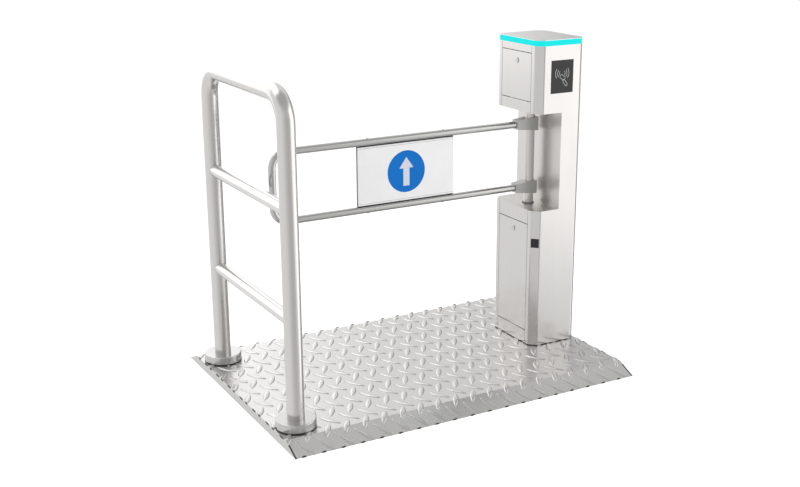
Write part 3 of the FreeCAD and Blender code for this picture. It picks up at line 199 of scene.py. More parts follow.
def modify(piece: Piece, kind: str, **settings: Any) -> None:
    """Add a modifier to a piece and apply it.

    Args:
        piece: The mesh object.
        kind: Blender's name for the modifier.
        settings: The modifier's own settings.
    """
    modifier = piece.modifiers.new(kind.lower(), kind)
    for name, value in settings.items():
        setattr(modifier, name, value)
    pick(piece)
    bpy.ops.object.modifier_apply(modifier=modifier.name)


def placed(name: str, data: bpy.types.ID) -> Piece:
    """Return a new object in the scene."""
    thing = bpy.data.objects.new(name, data)
    bpy.context.scene.collection.objects.link(thing)
    return thing


def copy_of(piece: Piece) -> Piece:
    """Return a copy of a settled piece with a mesh of its own."""
    return placed(piece.name, piece.data.copy())


def joined(pieces: list[Piece]) -> Piece:
    """Return several pieces as one."""
    pick(*pieces)
    bpy.ops.object.join()
    return pieces[0]


def hand_over(
    piece: Piece, name: str, body: str, finish: Finish, smooth_angle: float = 35.0
) -> None:
    """Clean a finished piece, dress it and let it ride on its body.

    Args:
        piece: The modelled piece.
        name: Its name in the model.
        body: The CAD body that it moves with.
        finish: What it is dressed in.
        smooth_angle: Edges flatter than this many degrees are shaded smooth.
    """
    with editing(piece):
        bpy.ops.mesh.remove_doubles(threshold=HAIR / 2)
        bpy.ops.mesh.normals_make_consistent(inside=False)
    bpy.ops.object.shade_smooth_by_angle(angle=math.radians(smooth_angle))
    piece.name = piece.data.name = name
    piece.data.materials.clear()
    piece.data.materials.append(finish.material())
    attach(piece, body)
    LOG.info("%s: %d faces, rides on %s", name, len(piece.data.polygons), body)


# Finishes


class Wiring:
    """Adds and links the nodes of one shader tree."""

    def __init__(self, tree: bpy.types.NodeTree) -> None:
        """Start on a tree."""
        self.tree = tree

    @classmethod
    def blank(cls, owner: bpy.types.Material | bpy.types.World) -> Wiring:
        """Return the wiring of a material or world that starts with no nodes."""
        owner.use_nodes = True
        owner.node_tree.nodes.clear()
        return cls(owner.node_tree)

    def add(
        self, kind: str, settings: Values = None, numbered: Values = None, **named: Any
    ) -> Outputs:
        """Add a node.

        Args:
            kind: The node's type, without its ShaderNode prefix.
            settings: The node's own properties.
            numbered: Values or sockets for its inputs, by number.
            named: Values or sockets for its inputs, by name with _ for a space.

        Returns:
            The new node's outputs.
        """
        node = self.tree.nodes.new("ShaderNode" + kind)
        for name, value in (settings or {}).items():
            setattr(node, name, value)
        for index, value in (numbered or {}).items():
            self.feed(node.inputs[index], value)
        for name, value in named.items():
            self.feed(node.inputs[name.replace("_", " ")], value)
        return node.outputs

    def feed(self, socket: Socket, value: Any) -> None:
        """Link an input, or set its own value.

        Args:
            socket: The input.
            value: The socket to link it to, or the value.
        """
        if isinstance(value, Socket):
            self.tree.links.new(value, socket)
        else:
            socket.default_value = value

    def group(self, shared: SharedEffect, **named: Any) -> Outputs:
        """Place a shared effect in the tree and return its outputs."""
        return self.add("Group", {"node_tree": shared.tree()}, **named)

    def reckon(self, operation: str, first: Any, second: Any) -> Socket:
        """Return what two values come to."""
        return self.add("Math", {"operation": operation}, {0: first, 1: second})[0]

    def blend(self, share: Any, first: Any, second: Any) -> Socket:
        """Return a mix of two colours, with a share of the second one."""
        return self.add("Mix", {"data_type": "RGBA"}, {0: share, 6: first, 7: second})[2]

    def spread(
        self, value: Socket, low: Any, high: Any, reach: Pair = (0.0, 1.0), ease: str = "LINEAR"
    ) -> Socket:
        """Map a value from one range to another.

        Args:
            value: The socket to map.
            low: What the start of its range becomes.
            high: What the end of its range becomes.
            reach: Where its range starts and ends.
            ease: How it goes from one to the other.

        Returns:
            The mapped value's socket.
        """
        ends = {"From_Min": reach[0], "From_Max": reach[1], "To_Min": low, "To_Max": high}
        return self.add("MapRange", {"interpolation_type": ease}, Value=value, **ends)["Result"]


class Surface(Wiring):
    """The wiring of a material with a Principled BSDF."""

    def __init__(self, material: bpy.types.Material) -> None:
        """Start on a new material."""
        material.use_nodes = True
        super().__init__(material.node_tree)
        self.shader = self.tree.nodes["Principled BSDF"].inputs
        self.place = self.add("TexCoord")["Object"]

    def set(self, **named: Any) -> None:
        """Feed the shader's inputs, by name with _ for a space."""
        for name, value in named.items():
            self.feed(self.shader[name.replace("_", " ")], value)

    def bump(self, height: Socket, strength: float, depth: float) -> None:
        """Raise the surface by a height, up to a depth in metres."""
        raised = self.add("Bump", Height=height, Strength=strength, Distance=depth)
        self.set(Normal=raised[0])


class SharedEffect:
    """A shader node group that several finishes use."""

    name = ""
    inputs: tuple[str, ...] = ()
    outputs: tuple[str, ...] = ()

    @classmethod
    @cache
    def tree(cls) -> bpy.types.NodeTree:
        """Return the group's tree, built on the first call."""
        tree = bpy.data.node_groups.new(cls.name, "ShaderNodeTree")
        for way, names in (("INPUT", cls.inputs), ("OUTPUT", cls.outputs)):
            for name in names:
                kind = "Vector" if name == "Vector" else "Float"
                tree.interface.new_socket(name, in_out=way, socket_type="NodeSocket" + kind)
        on = Wiring(tree)
        given = tree.nodes.new("NodeGroupInput").outputs
        results = tree.nodes.new("NodeGroupOutput").inputs
        for name, socket in zip(cls.outputs, cls().build(on, given)):
            on.feed(results[name], socket)
        return tree

    def build(self, on: Wiring, given: Outputs) -> tuple[Socket, ...]:
        """Build the group's nodes.

        Args:
            on: The group's wiring.
            given: The group's input sockets, by name.

        Returns:
            The socket of each output, in order.
        """
        raise NotImplementedError


class PolishLines(SharedEffect):
    """Fine lines that polishing leaves, and the wider streaks between them."""

    name = "polish_lines"
    inputs = ("Vector", "Fineness")
    outputs = ("Height", "Streaks")
    wide_share = 0.11

    def build(self, on: Wiring, given: Outputs) -> tuple[Socket, ...]:
        """Return fine and wide noise along the stretched coordinates."""
        along, fineness = given["Vector"], given["Fineness"]
        fine = on.add("TexNoise", Vector=along, Scale=fineness, Detail=3.0)
        wide = on.reckon("MULTIPLY", fineness, self.wide_share)
        streaks = on.add("TexNoise", Vector=along, Scale=wide, Detail=2.0)
        return fine[0], streaks[0]


class HandlingMarks(SharedEffect):
    """Faint patches where a surface was wiped or touched."""

    name = "handling_marks"
    inputs = ("Vector", "Scale")
    outputs = ("Mask",)
    reach = (0.35, 0.68)

    def build(self, on: Wiring, given: Outputs) -> tuple[Socket, ...]:
        """Return broad noise with its middle spread out."""
        place, scale = given["Vector"], given["Scale"]
        noise = on.add("TexNoise", Vector=place, Scale=scale, Detail=5.0, Distortion=0.6)
        return (on.spread(noise[0], 0.0, 1.0, self.reach),)


class EdgeHighlight(SharedEffect):
    """Painted highlights along edges, brighter than the faces beside them."""

    name = "edge_highlight"
    inputs = ("Vector", "Radius")
    outputs = ("Mask",)
    reach = (0.80, 0.99)

    def build(self, on: Wiring, given: Outputs) -> tuple[Socket, ...]:
        """Return where a rounded normal leaves the true one, broken up by noise."""
        rounded = on.add("Bevel", {"samples": 4}, Radius=given["Radius"])[0]
        true = on.add("NewGeometry")["Normal"]
        product = on.add("VectorMath", {"operation": "DOT_PRODUCT"}, {0: rounded, 1: true})
        edge = on.spread(product["Value"], 1.0, 0.0, self.reach)
        noise = on.add("TexNoise", Vector=given["Vector"], Scale=90.0, Detail=4.0)
        return (on.reckon("MULTIPLY", edge, noise[0]),)


@dataclass(frozen=True)
class Finish:
    """What a surface is made of."""

    name: str
    colour: Colour
    roughness: Pair
    mark_scale: float = 14.0

    @cache
    def material(self) -> bpy.types.Material:
        """Return this finish's material, built on the first call."""
        material = bpy.data.materials.new(self.name)
        self.dress(Surface(material))
        return material

    def dress(self, on: Surface) -> None:
        """Wire the finish into a material.

        Args:
            on: The material's surface.
        """
        raise NotImplementedError

    def mark(self, on: Surface) -> Socket:
        """Let handling marks change the roughness.

        Args:
            on: The material's surface.

        Returns:
            The mask of the marks.
        """
        marks = on.group(HandlingMarks(), Vector=on.place, Scale=self.mark_scale)["Mask"]
        on.set(Roughness=on.spread(marks, *self.roughness))
        return marks


@dataclass(frozen=True)
class PolishedMetal(Finish):
    """Bare metal with polishing lines, handling marks and painted highlights on its edges."""

    roughness: Pair = (0.20, 0.25)
    mark_scale: float = 5.0
    streak: float = 0.961
    edge_highlight_colour: Colour = grey(0.8)
    lines: Axis = Axis.NONE
    fineness: float = 900.0
    grain: float = 0.12
    grain_depth: float = 0.02 * MM
    edge: float = 0.6 * MM

    def dress(self, on: Surface) -> None:
        """Wire lines, marks and edges into the colour, roughness and normal."""
        along = on.add("Mapping", Vector=on.place, Scale=self.lines.value)[0]
        polish = on.group(PolishLines(), Vector=along, Fineness=self.fineness)
        edge_lit = on.group(EdgeHighlight(), Vector=on.place, Radius=self.edge)["Mask"]
        streaky = on.blend(polish["Streaks"], self.colour, shade(self.colour, self.streak))
        # Edges are painted lighter here: a painted highlight, broken up by noise.
        on.set(Base_Color=on.blend(edge_lit, streaky, self.edge_highlight_colour), Metallic=1.0)
        self.mark(on)
        on.bump(polish["Height"], self.grain, self.grain_depth)


@dataclass(frozen=True)
class PlatedMetal(Finish):
    """Zinc plating with the crystals that it cools into."""

    mark_scale: float = 9.0
    crystal: Colour = (0.60, 0.61, 0.62, 1.0)
    crystal_scale: float = 70.0
    grain: float = 0.08
    grain_depth: float = 0.05 * MM

    def dress(self, on: Surface) -> None:
        """Wire crystals into the colour and normal, and marks into the roughness."""
        cells = on.add("TexVoronoi", Vector=on.place, Scale=self.crystal_scale)["Color"]
        tone = on.add("SeparateColor", Color=cells)
        on.set(Base_Color=on.blend(tone[0], self.colour, self.crystal), Metallic=1.0)
        self.mark(on)
        on.bump(tone[1], self.grain, self.grain_depth)


@dataclass(frozen=True)
class Coating(Finish):
    """Paint, plastic, rubber or film, with a skin of its own."""

    patch: float = 1.0
    skin_scale: float = 700.0
    skin: float = 0.05
    skin_depth: float = 0.05 * MM
    specular: float = 0.5

    def dress(self, on: Surface) -> None:
        """Wire patches and skin into the colour, roughness and normal."""
        patches = on.blend(self.mark(on), self.colour, shade(self.colour, self.patch))
        on.set(Base_Color=patches, Specular_IOR_Level=self.specular)
        peel = on.add("TexNoise", Vector=on.place, Scale=self.skin_scale, Detail=2.0)
        on.bump(peel[0], self.skin, self.skin_depth)


@dataclass(frozen=True)
class LightGuide(Finish):
    """Clear acrylic lit from the board behind it, a little brighter at each lamp."""

    mark_scale: float = 20.0
    patch: Colour = (0.005, 0.10, 0.10, 1.0)
    glow: Colour = (0.004, 0.81, 0.80, 1.0)
    between: Colour = (0.006, 0.75, 0.74, 1.0)
    lamp_scale: float = 60.0
    lamp_reach: Pair = (0.1, 0.7)
    strength: float = 1.0
    specular: float = 0.06

    def dress(self, on: Surface) -> None:
        """Wire the lamps behind the guide into its glow."""
        lamps = on.add("TexVoronoi", Vector=on.place, Scale=self.lamp_scale)["Distance"]
        away = on.spread(lamps, 0.0, 1.0, self.lamp_reach)
        on.set(
            Base_Color=on.blend(self.mark(on), self.colour, self.patch),
            Emission_Color=on.blend(away, self.glow, self.between),
            Emission_Strength=self.strength,
            Specular_IOR_Level=self.specular,
        )


@dataclass(frozen=True)
class PrintedBoard(Finish):
    """A circuit board's lacquer over its copper, and the black mouldings beyond its front."""

    track: Colour = (0.03, 0.21, 0.09, 1.0)
    pad: Colour = (0.72, 0.58, 0.25, 1.0)
    moulding: Colour = grey(0.02)
    lane_scale: float = 60.0
    lane_gap: float = 0.05
    pad_scale: float = 190.0
    pad_reach: Pair = (0.18, 0.24)
    relief: float = 0.2
    relief_depth: float = 0.05 * MM
    front: float = 0.0
    step: float = 0.3 * MM

    def dress(self, on: Surface) -> None:
        """Wire tracks, pads and mouldings into the colour, metal and height."""
        turned = on.add("Mapping", Vector=on.place, Rotation=(math.pi / 2, 0.0, 0.0))[0]
        brick = {"Scale": self.lane_scale, "Mortar_Size": self.lane_gap}
        lanes = on.add("TexBrick", Vector=turned, **brick)["Fac"]
        holes = on.add("TexVoronoi", Vector=on.place, Scale=self.pad_scale, Randomness=0.5)
        pads = on.spread(holes["Distance"], 1.0, 0.0, self.pad_reach)
        lacquer = on.blend(pads, on.blend(lanes, self.colour, self.track), self.pad)
        depth = on.add("SeparateXYZ", Vector=on.place)["X"]
        moulded = on.spread(depth, 1.0, 0.0, (self.front - self.step, self.front))
        on.set(
            Base_Color=on.blend(moulded, lacquer, self.moulding),
            Metallic=on.spread(moulded, pads, 0.0),
            Roughness=on.spread(lanes, *self.roughness),
        )
        on.bump(lanes, self.relief, self.relief_depth)


# These satin steels are one stainless steel. Their lines run their own ways, and their colours are
# set lighter or darker part by part as painted light and shade: lighter on the cross rails, the lid
# and the notch liner, darker on the arm tube, the side plates and the flange covers.
SATIN_UPRIGHT = PolishedMetal("satin_steel_upright", (0.645, 0.629, 0.613, 1.0), lines=Axis.Z)
SATIN_LENGTHWAYS = PolishedMetal(
    "satin_steel_lengthways", (0.53, 0.525, 0.518, 1.0), streak=0.943, lines=Axis.X
)
SATIN_ACROSS = PolishedMetal(
    "satin_steel_across", (0.69, 0.68, 0.672, 1.0), streak=0.964, lines=Axis.Y
)
SATIN_BASE = PolishedMetal(
    "satin_steel_base", (0.55, 0.545, 0.538, 1.0), (0.22, 0.28), streak=0.945, lines=Axis.Y
)
SATIN_DULL = PolishedMetal(
    "satin_steel_dull", (0.66, 0.64, 0.622, 1.0), (0.32, 0.38), streak=0.955, lines=Axis.Z
)
TREAD = PolishedMetal(
    "tread_steel", (0.615, 0.607, 0.597, 1.0), (0.24, 0.32),
    streak=0.944, lines=Axis.X, fineness=420.0, grain=0.16,
)
CLAMP_METAL = PolishedMetal(
    "clamp_metal", (0.49, 0.48, 0.465, 1.0), (0.30, 0.38), streak=0.9, fineness=600.0, grain=0.2
)
ZINC = PlatedMetal("zinc_plate", (0.52, 0.53, 0.55, 1.0), (0.30, 0.45))
FASTENER = PolishedMetal("bolt_steel", grey(0.56), (0.22, 0.34), streak=0.857, edge=0.3 * MM)
GROUND_STEEL = PolishedMetal("ground_steel", grey(0.58), (0.14, 0.22), streak=0.897)
CHROME = PolishedMetal("bright_chrome", grey(0.62), (0.08, 0.14), streak=0.935, grain=0.03)
CAST_IRON = Coating(
    "cast_iron", grey(0.045), (0.50, 0.68),
    patch=1.44, skin_scale=420.0, skin=0.45, skin_depth=0.3 * MM,
)
BLACK_PAINT = Coating("motor_paint", grey(0.018), (0.34, 0.46), patch=1.44, skin=0.22)
GREY_RUBBER = Coating(
    "grey_rubber", grey(0.16), (0.46, 0.58), patch=1.19, skin=0.1, specular=0.3
)
# Black rubber, which also dresses the dark pieces of painted shadow and shade: the rings under the
# feet, the dishes in the cut lug hollows and the strips along the sign panel's edges.
RUBBER_AND_SHADE = Coating("seal_rubber_and_painted_shade", grey(0.014), (0.58, 0.74), patch=1.57, skin=0.3)
SMOKED = Coating(
    "smoked_acrylic", grey(0.018), (0.12, 0.18), patch=1.17, skin=0.02, specular=0.3
)
SENSOR_BLACK = Coating("sensor_moulding", grey(0.02), (0.42, 0.55), patch=1.4, skin=0.2)
WHITE_SHEET = Coating("sign_sheet", grey(0.86), (0.34, 0.42), patch=0.971)
BLUE_FILM = Coating(
    "blue_film", (0.006, 0.165, 0.57, 1.0), (0.36, 0.44), patch=0.962, specular=0.12
)
GREY_FILM = Coating("grey_film", (0.66, 0.68, 0.75, 1.0), (0.36, 0.44), patch=0.971)
LINE_FILM = Coating("line_film", grey(0.50), (0.36, 0.44), patch=0.94)
SYMBOL_PRINT = Coating("symbol_print", grey(0.56), (0.40, 0.50), patch=0.929)
RING_LIGHT = LightGuide("ring_light", (0.004, 0.06, 0.06, 1.0), (0.30, 0.40))
BOARD = PrintedBoard("printed_board", (0.012, 0.115, 0.045, 1.0), (0.28, 0.42))
MAIN_BOARD = PrintedBoard("main_board", BOARD.colour, BOARD.roughness, front=570.9 * MM)

FINISH_OF_SLOT: dict[str, Finish] = {
    "tread_plate": TREAD,
    "satin_steel": SATIN_UPRIGHT,
    "plated_steel": ZINC,
    "fastener_steel": FASTENER,
    "bearing_steel": GROUND_STEEL,
    "housing_iron": CAST_IRON,
    "lock_chrome": CHROME,
    "motor_black": BLACK_PAINT,
    "rubber": RUBBER_AND_SHADE,
    "light_acrylic": RING_LIGHT,
    "dark_acrylic": SMOKED,
    "sensor_plastic": SENSOR_BLACK,
    "white_panel": WHITE_SHEET,
    "circuit_board": BOARD,
}

FINISH_OF_NODE: dict[str, Finish] = {
    **dict.fromkeys(("left_side_plate", "right_side_plate"), SATIN_BASE),
    **dict.fromkeys(("front_flange_cover", "rear_flange_cover"), SATIN_BASE),
    **dict.fromkeys(("lower_cross_rail", "upper_cross_rail", "top_lid"), SATIN_ACROSS),
    **dict.fromkeys(("lower_clamp", "upper_clamp"), CLAMP_METAL),
    "arm_tube": SATIN_LENGTHWAYS,
    "notch_liner": SATIN_DULL,
    "shaft_seal": GREY_RUBBER,
    "control_board": MAIN_BOARD,
}


def dress_nodes() -> None:
    """Give every CAD node its finish."""
    for part in frame["record"]["subparts"]:
        name = part["node"]
        finish = FINISH_OF_NODE.get(name, FINISH_OF_SLOT[part["material_slot"]])
        node = frame["nodes"][name]
        node.data.materials.clear()
        node.data.materials.append(finish.material())
        LOG.info("%s: dressed in %s", name, finish.name)


# Pieces

CABINET_CHAMFER = 22 * MM
CABINET_FOLD = 6 * MM
FOLD_SEGMENTS = 3
COVER_POINTS = 64
# Each foot's dark ring is painted shadow, standing in for the shaded gap beneath it.
SHADOW_GAP_OF_FOOT = {
    "cabinet_shell": "cabinet_shadow_gap",
    "front_flange_cover": "front_flange_shadow_gap",
    "rear_flange_cover": "rear_flange_shadow_gap",
}


def foot_block(node: str, room: float, middle: float, half_height: float) -> Piece:
    """Model a block with the plan of the cabinet or of a flange cover.

    Args:
        node: The CAD node of the cabinet or cover.
        room: How far the block stands out from it all round.
        middle: The height of the block's middle.
        half_height: How far it goes up and down from there.

    Returns:
        The block.
    """
    low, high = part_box(node)
    place = ((low.x + high.x) / 2, (low.y + high.y) / 2, middle)
    width, depth = high.x - low.x + 2 * room, high.y - low.y + 2 * room
    if node != "cabinet_shell":
        plan = {"vertices": COVER_POINTS, "radius": width / 2, "depth": 2 * half_height}
        return started(bpy.ops.mesh.primitive_cylinder_add, location=place, **plan)
    size = (width, depth, 2 * half_height)
    block = started(bpy.ops.mesh.primitive_cube_add, size, size=1.0, location=place)
    with editing(block):
        for offset, segments in (
            (CABINET_CHAMFER + room * (2 - math.sqrt(2)), 1),
            (CABINET_FOLD * math.tan(math.pi / 8), FOLD_SEGMENTS),
        ):
            select(block, "EDGE", lambda edge: abs(edge.verts[0].co.z - edge.verts[1].co.z) > HAIR)
            bpy.ops.mesh.bevel(offset=offset, segments=segments)
    return block


class OnPlate:
    """A piece that lies on the tread plate and its ramps."""

    def __post_init__(self) -> None:
        """Read the plate's top, edges, creases and ramps from its node."""
        _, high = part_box("floor_plate")
        self.half_x, self.foot_y, self.top = high
        corners = frame["nodes"]["floor_plate"].data.vertices
        self.crease = max(corner.co.y for corner in corners if corner.co.z > self.top - HAIR)
        self.run = self.foot_y - self.crease
        self.fall = math.atan2(self.top, self.run)
        self.slope = math.hypot(self.top, self.run)
        self.flat_y = self.crease + self.slope


@dataclass
class TreadLugs(OnPlate):
    """The lugs pressed up out of the tread plate, leaning two ways, also over the ramps."""

    length: float = 76 * MM
    width: float = 18.5 * MM
    height: float = 2.2 * MM
    crown_length: float = 69 * MM
    crown_width: float = 13.5 * MM
    crown_round: float = 0.7 * MM
    root: float = 0.4 * MM
    lean: float = math.radians(58)
    pitch_x: float = 60 * MM
    pitch_y: float = 100 * MM
    arc_points: int = 52
    columns: int = 20
    rows: int = 9
    clearance: float = 0.8 * MM
    cutter_reach: float = 8.8 * MM
    smooth_angle: float = 60.0
    foot_hollow: Pair = (15 * MM, 5.7 * MM)
    edge_hollow: Pair = (18 * MM, 6.5 * MM)
    long_hollow: Pair = (30 * MM, 6 * MM)
    hollow_points: int = 14
    hollow_drop: float = 0.9 * MM
    hollow_rim: float = 0.4 * MM
    hollow_depth: float = 0.3 * MM

    def build(self) -> None:
        """Model one lug, repeat it both ways and fit the field to the plate."""
        lug = self.model_lug()
        one_way = self.repeat(lug, self.lean, self.columns, self.rows + 1)
        other_way = self.repeat(lug, -self.lean, self.columns + 1, self.rows)
        bpy.data.objects.remove(lug)
        lugs = joined([one_way, other_way])
        self.trim(lugs)
        for side in SIDES:
            self.fold(lugs, side)
        self.clear_feet(lugs)
        # The dark dishes are painted shade in the hollow undersides of the cut lugs.
        hand_over(self.model_hollow_shades(), "lug_hollow_shade", "frame", RUBBER_AND_SHADE)
        hand_over(lugs, "tread_lugs", "frame", TREAD, self.smooth_angle)

    def model_lug(self) -> Piece:
        """Return one lug on the origin, a pointed oval with sloping flanks."""
        half_width = self.width / 2
        radius = ((self.length / 2) ** 2 + half_width**2) / self.width
        lug = disc(self.arc_points, radius, location=(0.0, half_width - radius, -self.root))
        with editing(lug):
            bpy.ops.mesh.bisect(plane_co=(0, 0, 0), plane_no=(0, 1, 0), clear_inner=True)
        modify(lug, "MIRROR", use_axis=(False, True, False), merge_threshold=HAIR)
        taper = (self.crown_length / self.length, self.crown_width / self.width, 1.0)
        with editing(lug):
            bpy.ops.mesh.dissolve_faces()
            for rise in (self.root, self.height):
                bpy.ops.mesh.extrude_region_move(TRANSFORM_OT_translate={"value": (0, 0, rise)})
            bpy.ops.transform.resize(value=taper)
            fill_open_edge(lug)
            crown = self.height - HAIR
            select(lug, "EDGE", lambda edge: min(vert.co.z for vert in edge.verts) > crown)
            bpy.ops.mesh.bevel(offset=self.crown_round, segments=1)
            bpy.ops.mesh.select_all(action="SELECT")
            bpy.ops.mesh.normals_make_consistent(inside=False)
        return lug

    def repeat(self, lug: Piece, lean: float, columns: int, rows: int) -> Piece:
        """Repeat a lug in columns and rows round the middle of the plate.

        Args:
            lug: The lug on the origin.
            lean: How far it is turned.
            columns: How many columns there are.
            rows: How many rows there are.

        Returns:
            The field of lugs as one piece.
        """
        corner = (-(columns - 1) * self.pitch_x / 2, -(rows - 1) * self.pitch_y / 2, self.top)
        field = moved(copy_of(lug), corner, (0.0, 0.0, lean))
        offset = {"use_relative_offset": False, "use_constant_offset": True}
        for count, step in ((columns, (self.pitch_x, 0, 0)), (rows, (0, self.pitch_y, 0))):
            modify(field, "ARRAY", count=count, constant_offset_displace=step, **offset)
        return field

    def trim(self, lugs: Piece) -> None:
        """Cut the lugs off at the edges of the plate, while it is still flat.

        Args:
            lugs: The field of lugs.
        """
        with editing(lugs):
            for edge, way in ((self.half_x, (1.0, 0.0, 0.0)), (self.flat_y, (0.0, 1.0, 0.0))):
                for side in SIDES:
                    out = Vector(way) * side
                    bpy.ops.mesh.select_all(action="SELECT")
                    bpy.ops.mesh.bisect(
                        plane_co=out * edge, plane_no=out, use_fill=True, clear_outer=True
                    )

    def fold(self, lugs: Piece, side: float) -> None:
        """Bend the lugs beyond a crease down along with the ramp.

        Args:
            lugs: The field of lugs.
            side: Which crease, -1 or 1.
        """
        crease = (0.0, side * self.crease, self.top)
        with editing(lugs):
            bpy.ops.mesh.bisect(plane_co=crease, plane_no=(0.0, side, 0.0))
            select(lugs, "VERT", lambda vert: side * vert.co.y > self.crease + HAIR)
            bpy.ops.transform.rotate(
                value=side * self.fall, orient_axis="X", center_override=crease
            )

    def clear_feet(self, lugs: Piece) -> None:
        """Take the lugs away under the cabinet and the flange covers.

        Args:
            lugs: The field of lugs.
        """
        for node in SHADOW_GAP_OF_FOOT:
            cutter = foot_block(node, self.clearance, self.top, self.cutter_reach)
            modify(lugs, "BOOLEAN", object=cutter, operation="DIFFERENCE", solver="EXACT")
            bpy.data.objects.remove(cutter)

    def model_hollow_shades(self) -> Piece:
        """Return dark dishes of painted shade where the plate's edges cut through lugs, in the
        lugs' hollow undersides.
        """
        far_x, far_y = self.columns * self.pitch_x / 2, self.rows * self.pitch_y / 2
        slant = math.tan(self.lean)
        hollow_shades = []
        for size, count, column, start in (
            (self.edge_hollow, self.rows - 1, far_x - self.pitch_x / 2, self.pitch_y - far_y),
            (self.long_hollow, self.rows - 2, far_x, 1.5 * self.pitch_y - far_y),
        ):
            for way, face in zip(SIDES, (Face.LEFT, Face.RIGHT)):
                past = way * abs(self.half_x - column) * slant
                for row in range(count):
                    y = start + row * self.pitch_y + past
                    if abs(y) < self.crease:
                        place = (way * self.half_x, y, self.top - self.hollow_drop)
                        hollow_shades.append(moved(self.model_hollow_shade(*size), place, face.value))
        width, height = self.foot_hollow
        for way, face in zip(SIDES, (Face.FRONT, Face.BACK)):
            past = -way * (far_y - self.flat_y) / slant
            foot = way * (self.foot_y + self.height * math.sin(self.fall))
            for column in range(self.columns):
                x = self.pitch_x * (column + 0.5) - far_x + past
                if abs(x) < self.half_x - width:
                    hollow_shade = self.model_hollow_shade(width, height)
                    hollow_shades.append(moved(hollow_shade, (x, foot, height / 2), face.value))
        return joined(hollow_shades)

    def model_hollow_shade(self, width: float, height: float) -> Piece:
        """Model one dish of painted shade, a shallow oval dish flat on the origin.

        Args:
            width: Its width.
            height: Its height.

        Returns:
            The hollow.
        """
        hollow_shade = disc(self.hollow_points, width / 2, scale=(1.0, height / width, 1.0))
        depth = self.hollow_depth
        with editing(hollow_shade):
            bpy.ops.mesh.extrude_region_move(TRANSFORM_OT_translate={"value": (0, 0, depth)})
            bpy.ops.mesh.inset(thickness=self.hollow_rim)
            bpy.ops.transform.translate(value=(0, 0, -depth / 2))
            fill_open_edge(hollow_shade)
        return hollow_shade


@dataclass
class FootShadowGaps:
    """Thin dark rubber rings round the feet of the cabinet and the flange covers: painted shadow
    for the shaded gap under each foot.
    """

    proud: float = 0.35 * MM
    cabinet_height: float = 2.6 * MM
    cover_height: float = 3.4 * MM
    wall: float = 0.4 * MM

    def build(self) -> None:
        """Fit a ring of painted shadow round each foot."""
        for node, name in SHADOW_GAP_OF_FOOT.items():
            height = self.cabinet_height if node == "cabinet_shell" else self.cover_height
            foot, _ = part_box(node)
            block = foot_block(node, self.proud, foot.z + height / 2, height / 2)
            with editing(block):
                select(block, "FACE", lambda face: abs(face.normal.z) > 0.5)
                bpy.ops.mesh.delete(type="FACE")
            modify(block, "SOLIDIFY", thickness=self.wall, offset=-1.0)
            hand_over(block, name, "frame", RUBBER_AND_SHADE)


@dataclass
class RampEndBeads(OnPlate):
    """Dark rubber beads laid along both ends of each ramp, beside the side plates."""

    width: float = 4.8 * MM
    height: float = 0.9 * MM
    inset: float = 2.6 * MM
    round: float = 0.4 * MM
    share: float = 0.76

    def build(self) -> None:
        """Lay a bead at both ends of both ramps."""
        size = (self.width, self.share * self.slope, self.height)
        bead = started(bpy.ops.mesh.primitive_cube_add, size, size=1.0)
        with editing(bead):
            select(bead, "EDGE", lambda edge: min(vert.co.z for vert in edge.verts) > 0)
            bpy.ops.mesh.bevel(offset=self.round, segments=2)
        middle = 1.0 - self.share / 2
        x = self.half_x - self.inset
        y = self.crease + middle * self.run
        z = (1.0 - middle) * self.top
        dark_strips = [
            moved(copy_of(bead), (end * x, side * y, z), (-side * self.fall, 0.0, 0.0))
            for end in SIDES
            for side in SIDES
        ]
        bpy.data.objects.remove(bead)
        hand_over(joined(dark_strips), "ramp_end_beads", "frame", RUBBER_AND_SHADE)


@dataclass
class SignFilms:
    """The blue disc and the arrow stuck on both faces of the sign panel."""

    disc_diameter: float = 131 * MM
    disc_points: int = 96
    disc_rim: float = 2 * MM
    film: float = 0.25 * MM
    arrow_height: float = 90 * MM
    head_width: float = 49 * MM
    head_height: float = 34.5 * MM
    stem_width: float = 21.5 * MM

    def build(self) -> None:
        """Stick both films on both faces."""
        low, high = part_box("sign_panel")
        middle = (low + high) / 2
        for face, y, out in ((Face.FRONT, low.y, -self.film), (Face.BACK, high.y, self.film)):
            for kind, piece, layer, finish in (
                ("disc", self.model_disc(), 0.5, BLUE_FILM),
                ("arrow", self.model_arrow(), 1.5, GREY_FILM),
            ):
                moved(piece, (middle.x, y + out * layer, middle.z), face.value)
                hand_over(piece, f"sign_{kind}_{face.name.lower()}", "arm", finish)

    def model_disc(self) -> Piece:
        """Return the disc, flat round the origin."""
        film = disc(self.disc_points, self.disc_diameter / 2)
        with editing(film):
            bpy.ops.mesh.inset(thickness=self.disc_rim)
        modify(film, "SOLIDIFY", thickness=self.film, offset=0.0)
        return film

    def model_arrow(self) -> Piece:
        """Return the arrow, flat round the origin and pointing along Y."""
        cells = {"x_subdivisions": 3, "y_subdivisions": 2}
        arrow = started(bpy.ops.mesh.primitive_grid_add, size=self.head_width, **cells)
        half_head = self.head_width / 2
        half_arrow = self.arrow_height / 2
        with editing(arrow):
            select(arrow, "VERT", lambda vert: vert.co.y < -HAIR and abs(vert.co.x) > half_head / 2)
            bpy.ops.mesh.delete(type="VERT")
            select(arrow, "VERT", lambda vert: vert.co.y > HAIR)
            bpy.ops.mesh.merge(type="CENTER")
            for side in SIDES:
                inner = side * self.head_width / 6
                grown = side * self.stem_width / 2 - inner
                shift(arrow, lambda vert: abs(vert.co.x - inner) < HAIR, (grown, 0, 0))
            for test, rise in (
                (lambda vert: vert.co.y > HAIR, half_arrow - half_head),
                (lambda vert: abs(vert.co.y) < HAIR, half_arrow - self.head_height),
                (lambda vert: vert.co.y < -HAIR, half_head - half_arrow),
            ):
                shift(arrow, test, (0, rise, 0))
        modify(arrow, "SOLIDIFY", thickness=self.film, offset=0.0)
        return arrow


